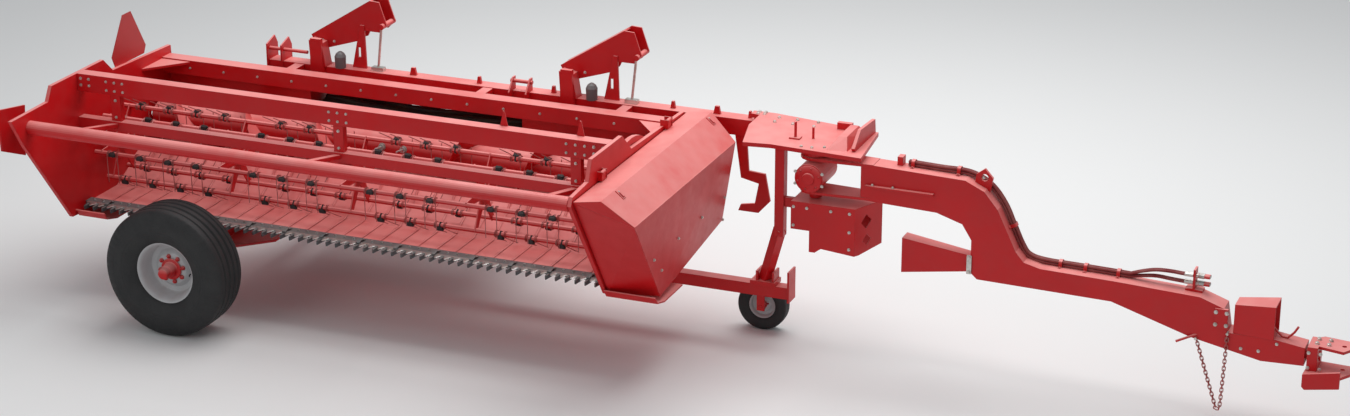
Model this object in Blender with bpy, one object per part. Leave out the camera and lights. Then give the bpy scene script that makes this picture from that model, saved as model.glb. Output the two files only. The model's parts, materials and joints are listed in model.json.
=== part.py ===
"""A pull-type mower conditioner in its in-line transport position, one object for each sub-part.

Units are metres and +Z is up. +X points along the machine towards the hitch. The cutterbar faces -Y.
Sizes are written with x = 0 at the inner face of the left end panel, y = 0 at the front face of the top
beam and z = 0 on the ground; CENTRE then moves the middle of the footprint to the origin.
"""

import math

import bmesh
import bpy
from mathutils import Matrix, Vector

# --- driving dimensions -------------------------------------------------------------------------------

GAP = 0.0003             # between two pieces that touch
CLEAR = 0.006            # between a moving piece and its neighbour
PIN_CLEAR = 0.0007       # round a pin or shaft in its bore
BORE_SIDES = 32

HEADER_WIDTH = 4.30      # between the inner faces of the two end panels
PANEL = 0.030            # end panel thickness with its flange
PANEL_TOP = 1.725
PANEL_NOSE = 0.86        # reach of the left end panel in front of the top beam
SHEET = 0.008            # pressed sheet

BEAM_DEPTH = 0.10        # top box beam
BEAM_HEIGHT = 0.135
PUSH_TUBE_RADIUS = 0.052
PUSH_TUBE_AT = (-0.64, 1.50)
LADDER_BEAM = 0.075      # square beam under the top box beam
LADDER_TOP = 1.39
POST_WIDTH = 0.08

CUTTERBAR_TOP = 0.72
CUTTERBAR_THICK = 0.03
CUTTERBAR_BACK = 0.07
GUARD_PITCH = 0.0762
GUARD_LENGTH = 0.11

REEL_AT = (0.36, 1.09)
REEL_RADIUS = 0.28       # to the middle of a bat
REEL_BATS = 6
REEL_TURN = 180.0        # direction of the first bat, in degrees
BAT_RADIUS = 0.019
REEL_HUB_RADIUS = 0.045
REEL_SHAFT = 0.025

AUGER_AT = (1.00, 1.11)
AUGER_TUBE = 0.10
AUGER_RADIUS = 0.25
AUGER_PITCH = 0.61
AUGER_SHAFT = 0.030
END_SPACE = 0.10         # between an end panel and the auger flight
FLIGHT_THICK = 0.010
TROUGH_SPACE = 0.03      # between the auger flight and the trough

OPENING_MARGIN = 1.25    # from each end panel to the centre opening
OPENING_TOP = 1.35
REAR_BEAM = 0.12         # square rear top beam
REAR_BEAM_TOP = 1.513

ROLL_RADIUS = 0.115
UPPER_ROLL_AT = (1.50, 1.15)
LOWER_ROLL_AT = (1.54, 0.905)
ROLL_SHAFT = 0.025
HOUSING_DEPTH = 0.67
HOUSING_BOTTOM = 0.70
CHEEK = 0.02             # conditioner side plate
HOOD_PIN = 0.010

MAIN_TUBE = 0.125        # trail frame tube, square
MAIN_TUBE_Y = 1.4925
MAIN_TUBE_TOP = 1.515
MAIN_TUBE_START = 0.80

SWIVEL_BEYOND = 1.20     # from the right end panel to the swivel
SWIVEL_Y = 0.96
SWIVEL_PIN = 0.045
FORK_TOP = 1.50
FORK_BOTTOM = 1.23
FORK_PLATE = 0.02
PLATFORM_TOP = 1.575
PLATFORM_THICK = 0.03

WHEEL_X = 1.03
WHEEL_RADIUS = 0.4925
WHEEL_WIDTH = 0.36
RIM_SEAT = 0.222         # radius of the tyre's bead
HUB_BORE = 0.036
FRONT_WHEEL_Y = -0.46
CHASSIS_Y = 1.05
AXLE_BEAM = 0.14
AXLE_STUB = 0.035
CHASSIS_TUBE = 0.09
CHASSIS_TUBE_Z = 0.375

STAND_Y = 1.20
STAND_RADIUS = 0.19
STAND_WIDTH = 0.11
STAND_AXLE = 0.012

TONGUE_REACH = 3.53      # from the swivel to the hitch shaft
TONGUE_WIDTH = 0.16
HITCH_Z = 0.53
HITCH_LENGTH = 0.31
HITCH_SHAFT = 0.035
HOSE_RADIUS = 0.010
CHAIN_RADIUS = 0.010

SHIELD_DEPTH = 0.43      # of the drive shield
SHIELD_SHEET = 0.008
COVER_PIN = 0.008
COVER_KNUCKLE = 0.06
OUTBOARD = 0.17          # reach of the bracket outside the left end panel

# --- derived positions --------------------------------------------------------------------------------

RIGHT = HEADER_WIDTH
SWIVEL_X = RIGHT + SWIVEL_BEYOND
STAND_X = SWIVEL_X - 0.47
HITCH_X = SWIVEL_X + TONGUE_REACH
REAR_WHEEL_Y = 2.0 * CHASSIS_Y - FRONT_WHEEL_Y
CENTRE = Vector((
    (HITCH_X + HITCH_LENGTH - OUTBOARD) / 2,
    (REAR_WHEEL_Y + WHEEL_WIDTH / 2 - PANEL_NOSE) / 2,
    0.0,
))
TROUGH_RADIUS = AUGER_RADIUS + TROUGH_SPACE
REAR_WALL_Y = AUGER_AT[0] + TROUGH_RADIUS + 0.002
WALL_BACK = REAR_WALL_Y + SHEET
HOUSING_TOP = MAIN_TUBE_TOP - MAIN_TUBE - 0.015
COVER_HINGE = (RIGHT + PANEL + 0.022, 1.592)
COVER_HINGE_Y = (-0.20, 1.00)
INSIDE = (GAP, RIGHT - GAP)

# --- helpers --------------------------------------------------------------------------------------------

for old in list(bpy.data.objects):
    bpy.data.objects.remove(old, do_unlink=True)
for old in list(bpy.data.collections):
    bpy.data.collections.remove(old)

scene = bpy.context.scene
parts = bpy.data.collections.new("mower_conditioner")
helpers = bpy.data.collections.new("helpers")
scene.collection.children.link(parts)
scene.collection.children.link(helpers)
helpers.hide_render = True

def material(name, colour, roughness, metallic):
    """A Principled BSDF of one colour."""
    made = bpy.data.materials.new(name)
    made.use_nodes = True
    shader = made.node_tree.nodes["Principled BSDF"]
    shader.inputs["Base Color"].default_value = (*colour, 1.0)
    shader.inputs["Roughness"].default_value = roughness
    shader.inputs["Metallic"].default_value = metallic
    return made


RED = ("red", (0.55, 0.01, 0.015), 0.35, 0.0)
DARK = ("dark_steel", (0.09, 0.10, 0.11), 0.5, 0.6)
GREY = ("grey_paint", (0.42, 0.43, 0.45), 0.45, 0.0)
TYRE = ("tyre", (0.02, 0.02, 0.022), 0.85, 0.0)
ZINC = ("zinc", (0.6, 0.6, 0.6), 0.4, 1.0)
BLACK = ("black", (0.02, 0.02, 0.02), 0.6, 0.0)


def shape(points, faces, name="shape"):
    """A closed mesh in machine coordinates, moved so that CENTRE is the origin."""
    mesh = bpy.data.meshes.new(name)
    mesh.from_pydata([tuple(Vector(point) - CENTRE) for point in points], [], faces)
    ready = bmesh.new()
    ready.from_mesh(mesh)
    bmesh.ops.recalc_face_normals(ready, faces=ready.faces)
    if ready.calc_volume(signed=True) < 0.0:
        bmesh.ops.reverse_faces(ready, faces=ready.faces)
    ready.to_mesh(mesh)
    ready.free()
    return bpy.data.objects.new(name, mesh)


def box(x, y, z):
    """A block between (low, high) pairs."""
    points = [(a, b, c) for a in x for b in y for c in z]
    faces = [(0, 1, 3, 2), (4, 6, 7, 5), (0, 4, 5, 1), (2, 3, 7, 6), (0, 2, 6, 4), (1, 5, 7, 3)]
    return shape(points, faces)


def prism(outline, axis, low, high):
    """A flat outline pushed along an axis: (y, z) along x, (x, z) along y or (x, y) along z."""
    place = {
        "x": lambda p, d: (d, p[0], p[1]),
        "y": lambda p, d: (p[0], d, p[1]),
        "z": lambda p, d: (p[0], p[1], d),
    }[axis]
    count = len(outline)
    points = [place(p, low) for p in outline] + [place(p, high) for p in outline]
    sides = [(i, (i + 1) % count, count + (i + 1) % count, count + i) for i in range(count)]
    return shape(points, [tuple(range(count)), tuple(range(count, 2 * count))] + sides)


def frame_along(start, end):
    """Two directions square to the line from start to end, the second as near to up as can be."""
    along = (Vector(end) - Vector(start)).normalized()
    up = Vector((0.0, 0.0, 1.0)) if abs(along.z) < 0.95 else Vector((0.0, 1.0, 0.0))
    side = along.cross(up).normalized()
    return side, side.cross(along)


def sections(rings, diagonals=None):
    """A closed body through rings of equally many points; diagonals says which way each strip is split."""
    count = len(rings[0])
    points = [p for ring in rings for p in ring]
    faces = [tuple(range(count)), tuple(range(len(points) - count, len(points)))]
    for r in range(len(rings) - 1):
        for i in range(count):
            j = (i + 1) % count
            quad = (r * count + i, r * count + j, (r + 1) * count + j, (r + 1) * count + i)
            if diagonals is None:
                faces.append(quad)
            else:
                a, b, c, d = quad if diagonals[i] else quad[1:] + quad[:1]
                faces += [(a, b, c), (a, c, d)]
    return shape(points, faces)


def turned(profile, start, end, sides=24):
    """A round body on the line from start to end, with (distance along, radius) pairs."""
    side, up = frame_along(start, end)
    along = (Vector(end) - Vector(start)).normalized()
    rings = []
    for distance, radius in profile:
        middle = Vector(start) + along * distance
        turns = [2.0 * math.pi * i / sides for i in range(sides)]
        rings.append([middle + (side * math.cos(t) + up * math.sin(t)) * radius for t in turns])
    return sections(rings)


def rod(start, end, radius, sides=16):
    length = (Vector(end) - Vector(start)).length
    return turned([(0.0, radius), (length, radius)], start, end, sides)


def bore(start, end, shaft_radius):
    """The cutter for the bore that a shaft turns in."""
    return rod(start, end, shaft_radius + PIN_CLEAR, BORE_SIDES)


def bar(start, end, width, height):
    """A rectangular bar between two points; the height is the way nearest to up."""
    side, up = frame_along(start, end)
    corners = [(-1, -1), (1, -1), (1, 1), (-1, 1)]
    rings = []
    for middle in (Vector(start), Vector(end)):
        rings.append([middle + side * (a * width / 2) + up * (b * height / 2) for a, b in corners])
    return sections(rings)


def pipe(route, radius, sides=8):
    """A round bar bent at the points of a route, each bend mitred."""
    route = [Vector(p) for p in route]
    side, _ = frame_along(route[0], route[1])
    rings = []
    for i, middle in enumerate(route):
        before = (middle - route[i - 1]).normalized() if i else (route[1] - route[0]).normalized()
        after = (route[i + 1] - middle).normalized() if i < len(route) - 1 else before
        along = (before + after).normalized()
        side = (side - along * side.dot(along)).normalized()
        up = side.cross(along)
        wide = 1.0 / max(0.5, along.dot(after))
        turns = [2.0 * math.pi * k / sides for k in range(sides)]
        bend = (after - before)
        across = bend.normalized() if bend.length > 1e-6 else up
        ring = []
        for t in turns:
            offset = side * math.cos(t) + up * math.sin(t)
            offset += across * (offset.dot(across) * (wide - 1.0))
            ring.append(middle + offset * radius)
        rings.append(ring)
    return sections(rings)


def hull(points):
    """The convex body round some points."""
    made = shape(points, [])
    ready = bmesh.new()
    ready.from_mesh(made.data)
    bmesh.ops.convex_hull(ready, input=ready.verts, use_existing_faces=False)
    ready.to_mesh(made.data)
    ready.free()
    return made


def node(name, look, shapes, cuts=(), pivot=None, round_angle=None):
    """One sub-part: the first shape, with the others joined to it and the cuts taken out."""
    body = shapes[0]
    body.name = name
    body.data.name = name
    body.data.materials.append(MATERIALS[look[0]].copy())
    body.data.materials[0].name = name + "_paint"
    parts.objects.link(body)
    for word, operation, others in (("add", "UNION", shapes[1:]), ("cut", "DIFFERENCE", cuts)):
        if not others:
            continue
        group = bpy.data.collections.new(name + "_" + word)
        helpers.children.link(group)
        for number, other in enumerate(others):
            other.name = name + "_" + word + str(number)
            other.hide_render = True
            other.display_type = "WIRE"
            group.objects.link(other)
        step = body.modifiers.new(word, "BOOLEAN")
        step.operation = operation
        step.operand_type = "COLLECTION"
        step.collection = group
        step.solver = "EXACT"
    if pivot is not None:
        place = Vector(pivot) - CENTRE
        body.data.transform(Matrix.Translation(-place))
        body.location = place
    if round_angle:
        smooth(body, round_angle)
    return body


def smooth(body, angle):
    body.data.shade_smooth()
    body.data.set_sharp_from_angle(angle=math.radians(angle))


MATERIALS = {look[0]: material(*look) for look in (RED, DARK, GREY, TYRE, ZINC, BLACK)}

# --- end panels -----------------------------------------------------------------------------------------

panel_rear = WALL_BACK + 0.015
shaft_bores = ((REEL_AT, REEL_SHAFT), (AUGER_AT, AUGER_SHAFT))
left_outline = [
    (-0.19, 0.65), (-0.73, 1.39), (-PANEL_NOSE, 1.61), (-0.39, 1.62), (-0.33, PANEL_TOP),
    (0.36, PANEL_TOP), (0.48, 1.61), (panel_rear, 1.575), (panel_rear + 0.03, 1.10), (1.08, 0.72), (0.35, 0.62),
]
node(
    "left_end_panel", RED,
    [prism(left_outline, "x", -PANEL, 0.0)],
    [bore((-0.1, *at), (0.1, *at), radius) for at, radius in shaft_bores],
)

right_outline = [
    (-0.10, 0.65), (-0.69, 1.50), (-0.66, 1.56), (-0.39, 1.58), (-0.33, PANEL_TOP), (0.20, PANEL_TOP),
    (0.36, 1.58), (1.36, 1.545), (1.33, 1.10), (1.08, 0.72), (0.35, 0.62),
]
cover_x, cover_z = COVER_HINGE
lug_x = (RIGHT + 0.004, cover_x + 0.014)
right_panel = [prism(right_outline, "x", RIGHT, RIGHT + PANEL)]
for y in COVER_HINGE_Y:
    inner = COVER_KNUCKLE / 2 + CLEAR
    for low in (y - inner - 0.008, y + inner):
        right_panel.append(box(lug_x, (low, low + 0.008), (1.54, cover_z + 0.014)))
    right_panel.append(rod((cover_x, y - inner - 0.004, cover_z), (cover_x, y + inner + 0.004, cover_z), COVER_PIN))
node(
    "right_end_panel", RED, right_panel,
    [bore((RIGHT - 0.1, *at), (RIGHT + 0.1, *at), radius) for at, radius in shaft_bores],
)

# --- front of the header ----------------------------------------------------------------------------------

node(
    "front_push_tube", RED,
    [rod((INSIDE[0], *PUSH_TUBE_AT), (INSIDE[1], *PUSH_TUBE_AT), PUSH_TUBE_RADIUS, 24)], round_angle=40,
)

beam_bottom = PANEL_TOP - BEAM_HEIGHT
ladder_at = (0.02, LADDER_TOP - LADDER_BEAM / 2)
ladder_y = (ladder_at[0] - LADDER_BEAM / 2, ladder_at[0] + LADDER_BEAM / 2)
ladder = [box(INSIDE, ladder_y, (LADDER_TOP - LADDER_BEAM, LADDER_TOP))]
for x in (0.32, RIGHT / 2 + 0.04, RIGHT - 0.24):
    ladder.append(bar((x, *PUSH_TUBE_AT), (x, *ladder_at), 0.05, 0.03))
    post_x = (x - POST_WIDTH / 2, x + POST_WIDTH / 2)
    ladder.append(box(post_x, (0.002, ladder_y[1] - 0.002), (LADDER_TOP - 0.02, beam_bottom - GAP)))
node(
    "push_tube_frame", RED, ladder,
    [rod((-0.1, *PUSH_TUBE_AT), (RIGHT + 0.1, *PUSH_TUBE_AT), PUSH_TUBE_RADIUS + GAP, 24)],
)

node("top_box_beam", RED, [box(INSIDE, (0.0, BEAM_DEPTH), (beam_bottom, PANEL_TOP))])

# --- cutterbar ----------------------------------------------------------------------------------------------

bar_outline = [(INSIDE[0], CUTTERBAR_BACK), (INSIDE[0], -0.01)]
guard_count = int((HEADER_WIDTH - 0.02) / GUARD_PITCH)
first_guard = (HEADER_WIDTH - (guard_count - 1) * GUARD_PITCH) / 2
for number in range(guard_count):
    x = first_guard + number * GUARD_PITCH
    bar_outline += [(x - 0.018, -0.01), (x - 0.005, -GUARD_LENGTH), (x + 0.005, -GUARD_LENGTH), (x + 0.018, -0.01)]
bar_outline += [(INSIDE[1], -0.01), (INSIDE[1], CUTTERBAR_BACK)]
node("cutterbar", DARK, [prism(bar_outline, "z", CUTTERBAR_TOP - CUTTERBAR_THICK, CUTTERBAR_TOP)])

# --- floor, rear wall and rear beam ----------------------------------------------------------------------------


def arc(centre, radius, first, last, steps):
    """Points on an arc, angles in degrees."""
    turns = [math.radians(first + (last - first) * i / steps) for i in range(steps + 1)]
    return [(centre[0] + radius * math.cos(t), centre[1] + radius * math.sin(t)) for t in turns]


def sheet(route, thick):
    """The outline of a sheet that follows a route, its second face thick to the left of the route."""
    route = [Vector(p) for p in route]
    other = []
    for i, point in enumerate(route):
        before = (point - route[i - 1]).normalized() if i else (route[1] - route[0]).normalized()
        after = (route[i + 1] - point).normalized() if i < len(route) - 1 else before
        middle = (before + after).normalized()
        across = Vector((-middle.y, middle.x)) * (thick / max(0.4, middle.dot(after)))
        other.append(point + across)
    return [tuple(p) for p in route] + [tuple(p) for p in reversed(other)]


auger_y, auger_z = AUGER_AT
floor_route = [
    (CUTTERBAR_BACK + GAP, CUTTERBAR_TOP - 0.02), (auger_y - 0.58, CUTTERBAR_TOP - 0.02),
    (auger_y - 0.38, auger_z - 0.31), (auger_y - 0.30, auger_z - 0.25),
] + arc(AUGER_AT, TROUGH_RADIUS, 225, 296, 6)
node("header_floor", RED, [prism(sheet(floor_route, -SHEET), "x", *INSIDE)], round_angle=30)

rear_beam_bottom = REAR_BEAM_TOP - REAR_BEAM
OPENING = (OPENING_MARGIN, RIGHT - OPENING_MARGIN)
wall_route = arc(AUGER_AT, TROUGH_RADIUS, 296.3, 345, 4)
wall_route += [(REAR_WALL_Y, auger_z + 0.03), (REAR_WALL_Y, rear_beam_bottom - GAP)]
node(
    "header_rear_wall", RED, [prism(sheet(wall_route, -SHEET), "x", *INSIDE)],
    [box(OPENING, (0.6, 1.4), (auger_z - 0.23, OPENING_TOP))], round_angle=30,
)

rear_beam_y = (WALL_BACK - REAR_BEAM, WALL_BACK)
rear_beam = [box(INSIDE, rear_beam_y, (rear_beam_bottom, REAR_BEAM_TOP))]
for x, way in ((INSIDE[0], 1), (INSIDE[1], -1)):
    front = rear_beam_y[0] + 0.01
    outline = [(x, front), (x, front - 0.31), (x + way * 0.26, front)]
    rear_beam.append(prism(outline, "z", REAR_BEAM_TOP - 0.03, REAR_BEAM_TOP - 0.01))
node("rear_top_beam", RED, rear_beam)

# --- reel --------------------------------------------------------------------------------------------------------

reel_y, reel_z = REEL_AT
reel_ends = (END_SPACE - 0.04, RIGHT - END_SPACE + 0.04)
reel = [rod((reel_ends[0], *REEL_AT), (reel_ends[1], *REEL_AT), REEL_HUB_RADIUS, 12)]
for number in range(REEL_BATS):
    turn = math.radians(REEL_TURN + 360.0 * number / REEL_BATS)
    y = reel_y + REEL_RADIUS * math.cos(turn)
    z = reel_z + REEL_RADIUS * math.sin(turn)
    reel.append(rod((reel_ends[0], y, z), (reel_ends[1], y, z), BAT_RADIUS, 8))
for number in range(5):
    x = reel_ends[0] + 0.06 + (reel_ends[1] - reel_ends[0] - 0.12) * number / 4
    star = []
    for bat in range(REEL_BATS):
        turn = REEL_TURN + 360.0 * bat / REEL_BATS
        star += arc(REEL_AT, REEL_RADIUS + 0.012, turn - 4.0, turn + 4.0, 1)
        star += arc(REEL_AT, 0.075, turn + 180.0 / REEL_BATS, turn + 180.0 / REEL_BATS + 1.0, 1)
    reel.append(prism(star, "x", x - 0.005, x + 0.005))
reel.append(rod((-PANEL - 0.015, *REEL_AT), (RIGHT + PANEL + 0.015, *REEL_AT), REEL_SHAFT, 16))
node("reel", RED, reel, pivot=(RIGHT / 2, *REEL_AT), round_angle=50)

arch_centre = (0.43, 1.12)
arch = arc(arch_centre, 0.51, 35, 142, 12) + arc(arch_centre, 0.465, 142, 35, 12)
node("reel_end_arch", RED, [prism(arch, "x", RIGHT - 0.035, RIGHT - GAP)])

# --- auger ---------------------------------------------------------------------------------------------------------


def flight(first, last):
    """A helical flight between two x positions, rooted inside the auger tube."""
    turns = abs(last - first) / AUGER_PITCH
    steps = int(24 * turns)
    corners = (
        (-FLIGHT_THICK / 2, AUGER_TUBE - 0.025), (FLIGHT_THICK / 2, AUGER_TUBE - 0.025),
        (FLIGHT_THICK / 2, AUGER_RADIUS), (-FLIGHT_THICK / 2, AUGER_RADIUS),
    )
    rings = []
    for i in range(steps + 1):
        x = first + (last - first) * i / steps
        t = 0.06 + 2.0 * math.pi * turns * i / steps
        across = Vector((0.0, math.cos(t), math.sin(t)))
        rings.append([Vector((x + dx, *AUGER_AT)) + across * radius for dx, radius in corners])
    return sections(rings, (True, True, True, False))


node(
    "auger", RED,
    [
        rod((END_SPACE - 0.05, *AUGER_AT), (RIGHT - END_SPACE + 0.05, *AUGER_AT), AUGER_TUBE, 24),
        flight(END_SPACE, RIGHT / 2 - 0.22),
        flight(RIGHT - END_SPACE, RIGHT / 2 + 0.22),
        rod((-PANEL - 0.015, *AUGER_AT), (RIGHT + PANEL + 0.015, *AUGER_AT), AUGER_SHAFT, 16),
    ],
    pivot=(RIGHT / 2, *AUGER_AT), round_angle=40,
)

# --- conditioner ------------------------------------------------------------------------------------------------------

house_x = (OPENING[0] - 0.02, OPENING[1] + 0.02)
house_front = WALL_BACK + GAP
house_back = WALL_BACK + HOUSING_DEPTH
hood_y, hood_z = house_back + 0.025, HOUSING_TOP - 0.045
cheek = [
    (house_front, HOUSING_TOP), (house_back, HOUSING_TOP - 0.02), (house_back, 0.80),
    (house_back - 0.22, HOUSING_BOTTOM), (house_front + 0.05, HOUSING_BOTTOM + 0.03), (house_front, 0.86),
]
hood_lug = [
    (hood_y - 0.06, hood_z - 0.03), (hood_y + 0.02, hood_z - 0.02),
    (hood_y + 0.02, hood_z + 0.02), (hood_y - 0.06, hood_z + 0.03),
]
top_route = [(house_front, HOUSING_TOP - 0.015), (house_back, HOUSING_TOP - 0.035)]
across = (house_x[0] - 0.01, house_x[1] + 0.01)
housing = [
    prism(cheek, "x", house_x[0] - CHEEK, house_x[0]),
    prism(cheek, "x", house_x[1], house_x[1] + CHEEK),
    prism(sheet(top_route, 0.012), "x", *across),
    box(across, (house_back - 0.26, house_back - 0.20), (HOUSING_BOTTOM + 0.02, HOUSING_BOTTOM + 0.07)),
    prism(hood_lug, "x", house_x[0] - CHEEK, house_x[0]),
    prism(hood_lug, "x", house_x[1], house_x[1] + CHEEK),
]
house_pins = ((UPPER_ROLL_AT, ROLL_SHAFT), (LOWER_ROLL_AT, ROLL_SHAFT), ((hood_y, hood_z), HOOD_PIN))
node(
    "conditioner_housing", RED, housing,
    [bore((house_x[0] - 0.1, *at), (house_x[1] + 0.1, *at), radius) for at, radius in house_pins],
)

for name, at in (("upper_roll", UPPER_ROLL_AT), ("lower_roll", LOWER_ROLL_AT)):
    node(
        name, BLACK,
        [
            rod((house_x[0] + 0.03, *at), (house_x[1] - 0.03, *at), ROLL_RADIUS, 20),
            rod((house_x[0] - 0.04, *at), (house_x[1] + 0.04, *at), ROLL_SHAFT, 12),
        ],
        pivot=(RIGHT / 2, *at), round_angle=40,
    )

hood_route = [(hood_y - 0.004, hood_z), (hood_y + 0.14, hood_z - 0.12), (hood_y + 0.19, hood_z - 0.31)]
node(
    "swath_hood", RED,
    [
        prism(sheet(hood_route, 0.006), "x", house_x[0] + CLEAR, house_x[1] - CLEAR),
        rod((house_x[0] - 0.03, hood_y, hood_z), (house_x[1] + 0.03, hood_y, hood_z), HOOD_PIN, 12),
    ],
    pivot=(RIGHT / 2, hood_y, hood_z),
)

# --- trail frame ---------------------------------------------------------------------------------------------------------

tube_y = (MAIN_TUBE_Y - MAIN_TUBE / 2, MAIN_TUBE_Y + MAIN_TUBE / 2)
tube_z = (MAIN_TUBE_TOP - MAIN_TUBE, MAIN_TUBE_TOP)
tube_end = SWIVEL_X - 0.55
frame = [box((MAIN_TUBE_START, tube_end), tube_y, tube_z)]
for x, wide in ((2.04, 0.03), (2.60, 0.02), (3.22, 0.02), (4.19, 0.02), (4.54, 0.03), (4.80, 0.015)):
    lug_height = tube_z[1] + 0.5 * wide + 0.045
    lug = [
        (x - wide, tube_z[1] - 0.01), (x + wide, tube_z[1] - 0.01),
        (x + wide / 2, lug_height), (x - wide / 2, lug_height),
    ]
    frame.append(prism(lug, "y", MAIN_TUBE_Y - 0.012, MAIN_TUBE_Y + 0.012))
for x in (2.90, 3.04):
    outline = [
        (tube_y[0] - 0.06, tube_z[0]), (tube_y[0] - 0.06, tube_z[1]), (tube_y[0] + 0.02, tube_z[1] + 0.10),
        (tube_y[0] + 0.06, tube_z[1] + 0.10), (tube_y[0] + 0.06, tube_z[0] + 0.01), (tube_y[0] - 0.01, tube_z[0] + 0.01),
    ]
    frame.append(prism(outline, "x", x - 0.006, x + 0.006))
frame.append(rod((2.88, tube_y[0] + 0.03, tube_z[1] + 0.07), (3.06, tube_y[0] + 0.03, tube_z[1] + 0.07), 0.015, 12))
end_plate = [
    (tube_y[0] - 0.02, tube_z[0] + 0.02), (tube_y[0] - 0.02, tube_z[1] + 0.13), (tube_y[1] - 0.02, tube_z[1] + 0.17),
    (tube_y[1] + 0.02, tube_z[1] + 0.10), (tube_y[1] + 0.02, tube_z[0] + 0.02),
]
for x in (MAIN_TUBE_START + 0.005, MAIN_TUBE_START + 0.13):
    frame.append(prism(end_plate, "x", x - 0.006, x + 0.006))
frame.append(rod((MAIN_TUBE_START, tube_y[0] + 0.02, tube_z[1] + 0.09), (1.145, tube_y[0] + 0.02, tube_z[1] + 0.09), 0.014, 12))
for x in (1.08, RIGHT / 2 + 0.55, RIGHT - 0.45):
    frame.append(box(
        (x - 0.04, x + 0.04), (rear_beam_y[1] + GAP, tube_y[0] + 0.03), (rear_beam_bottom + 0.005, tube_z[1] - 0.005)
    ))
hanger = [
    (SWIVEL_X - 0.80, tube_z[0] + 0.01), (SWIVEL_X - 0.71, tube_z[0] + 0.01), (SWIVEL_X - 0.69, 1.12),
    (SWIVEL_X - 0.56, 1.11), (SWIVEL_X - 0.52, 0.90), (SWIVEL_X - 0.61, 0.80), (SWIVEL_X - 0.77, 0.80),
    (SWIVEL_X - 0.75, 0.85), (SWIVEL_X - 0.64, 0.87), (SWIVEL_X - 0.61, 1.03), (SWIVEL_X - 0.75, 1.06),
]
frame.append(prism(hanger, "y", tube_y[0] + 0.01, tube_y[0] + 0.03))
node("trail_frame_tube", RED, frame)

seat = tube_z[1] + GAP
arm_y = (tube_y[1] - 0.045, tube_y[1] + 0.11)
for name, x in (("left", 1.15), ("right", 3.27)):
    side_plate = [
        (x, 1.735), (x + 0.52, 2.060), (x + 0.60, 2.055), (x + 0.66, 1.880), (x + 0.60, 1.815),
        (x + 0.46, 1.815), (x + 0.42, 1.73), (x + 0.15, 1.645), (x + 0.05, 1.645),
    ]
    stem = [(x + 0.04, seat), (x + 0.17, seat), (x + 0.14, 1.70), (x + 0.03, 1.72)]
    hanger = [(x + 0.04, tube_z[0] + 0.01), (x + 0.16, tube_z[0] + 0.03), (x + 0.14, 1.74), (x + 0.05, 1.74)]
    gusset = [(x + 0.36, seat), (x + 0.48, seat), (x + 0.47, 1.86), (x + 0.435, 1.86)]
    slot = [(x + 0.41, 1.60), (x + 0.435, 1.60), (x + 0.435, 1.68), (x + 0.41, 1.68)]
    arm = [
        prism(side_plate, "y", arm_y[0], arm_y[0] + 0.012),
        prism(side_plate, "y", arm_y[1] - 0.012, arm_y[1]),
        bar((x + 0.02, sum(arm_y) / 2, 1.740), (x + 0.51, sum(arm_y) / 2, 2.046), arm_y[1] - arm_y[0] - 0.002, 0.012),
        prism(stem, "y", tube_y[0] - 0.02, arm_y[0] + 0.006),
        prism(hanger, "y", tube_y[0] - 0.035, tube_y[0] - GAP),
        prism(gusset, "y", arm_y[0] - 0.012, arm_y[0] + 0.006),
        rod((x + 0.63, arm_y[0] - 0.035, 1.870), (x + 0.63, arm_y[1] + 0.02, 1.870), 0.022, 16),
    ]
    node(name + "_lift_arm", RED, arm, [prism(slot, "y", arm_y[0] - 0.02, arm_y[0] + 0.02)])
    ram = (x + 0.28, arm_y[0] - 0.06)
    profile = [(0.0, 0.042), (0.09, 0.045), (0.115, 0.032), (0.13, 0.012)]
    node(name + "_lift_cylinder", GREY, [turned(profile, (*ram, seat), (*ram, seat + 1.0), 20)], round_angle=40)
    rod_y = arm_y[0] - 0.022
    node(
        name + "_lift_rod", ZINC,
        [
            rod((x + 0.59, rod_y, seat + 0.02), (x + 0.625, rod_y, 1.848 - GAP), 0.010, 12),
            box((x + 0.54, x + 0.64), (rod_y - 0.025, rod_y + 0.025), (seat, seat + 0.03)),
        ],
    )

# --- swivel ------------------------------------------------------------------------------------------------------------------

platform_z = (PLATFORM_TOP - PLATFORM_THICK, PLATFORM_TOP)
plate = [
    (tube_end - 0.12, tube_y[1] - 0.06), (tube_end - 0.12, 1.425), (tube_end - 0.05, 1.415), (tube_end - 0.045, 1.18),
    (SWIVEL_X - 0.50, 0.80), (SWIVEL_X - 0.30, 0.83),
    (SWIVEL_X + 0.39, 0.78), (SWIVEL_X + 0.33, 1.36), (tube_end + 0.05, tube_y[1] - 0.06),
]
end_plate = [(0.92, 1.54), (0.88, 1.60), (1.02, 1.70), (1.34, 1.68), (1.36, 1.56)]
cover_base = [(SWIVEL_X + 0.10, 0.84), (SWIVEL_X + 0.26, 0.86), (SWIVEL_X + 0.28, 1.30), (SWIVEL_X + 0.08, 1.30)]
cover_ridge = [(SWIVEL_X + 0.16, 0.98), (SWIVEL_X + 0.22, 0.98), (SWIVEL_X + 0.22, 1.24), (SWIVEL_X + 0.16, 1.24)]
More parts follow.
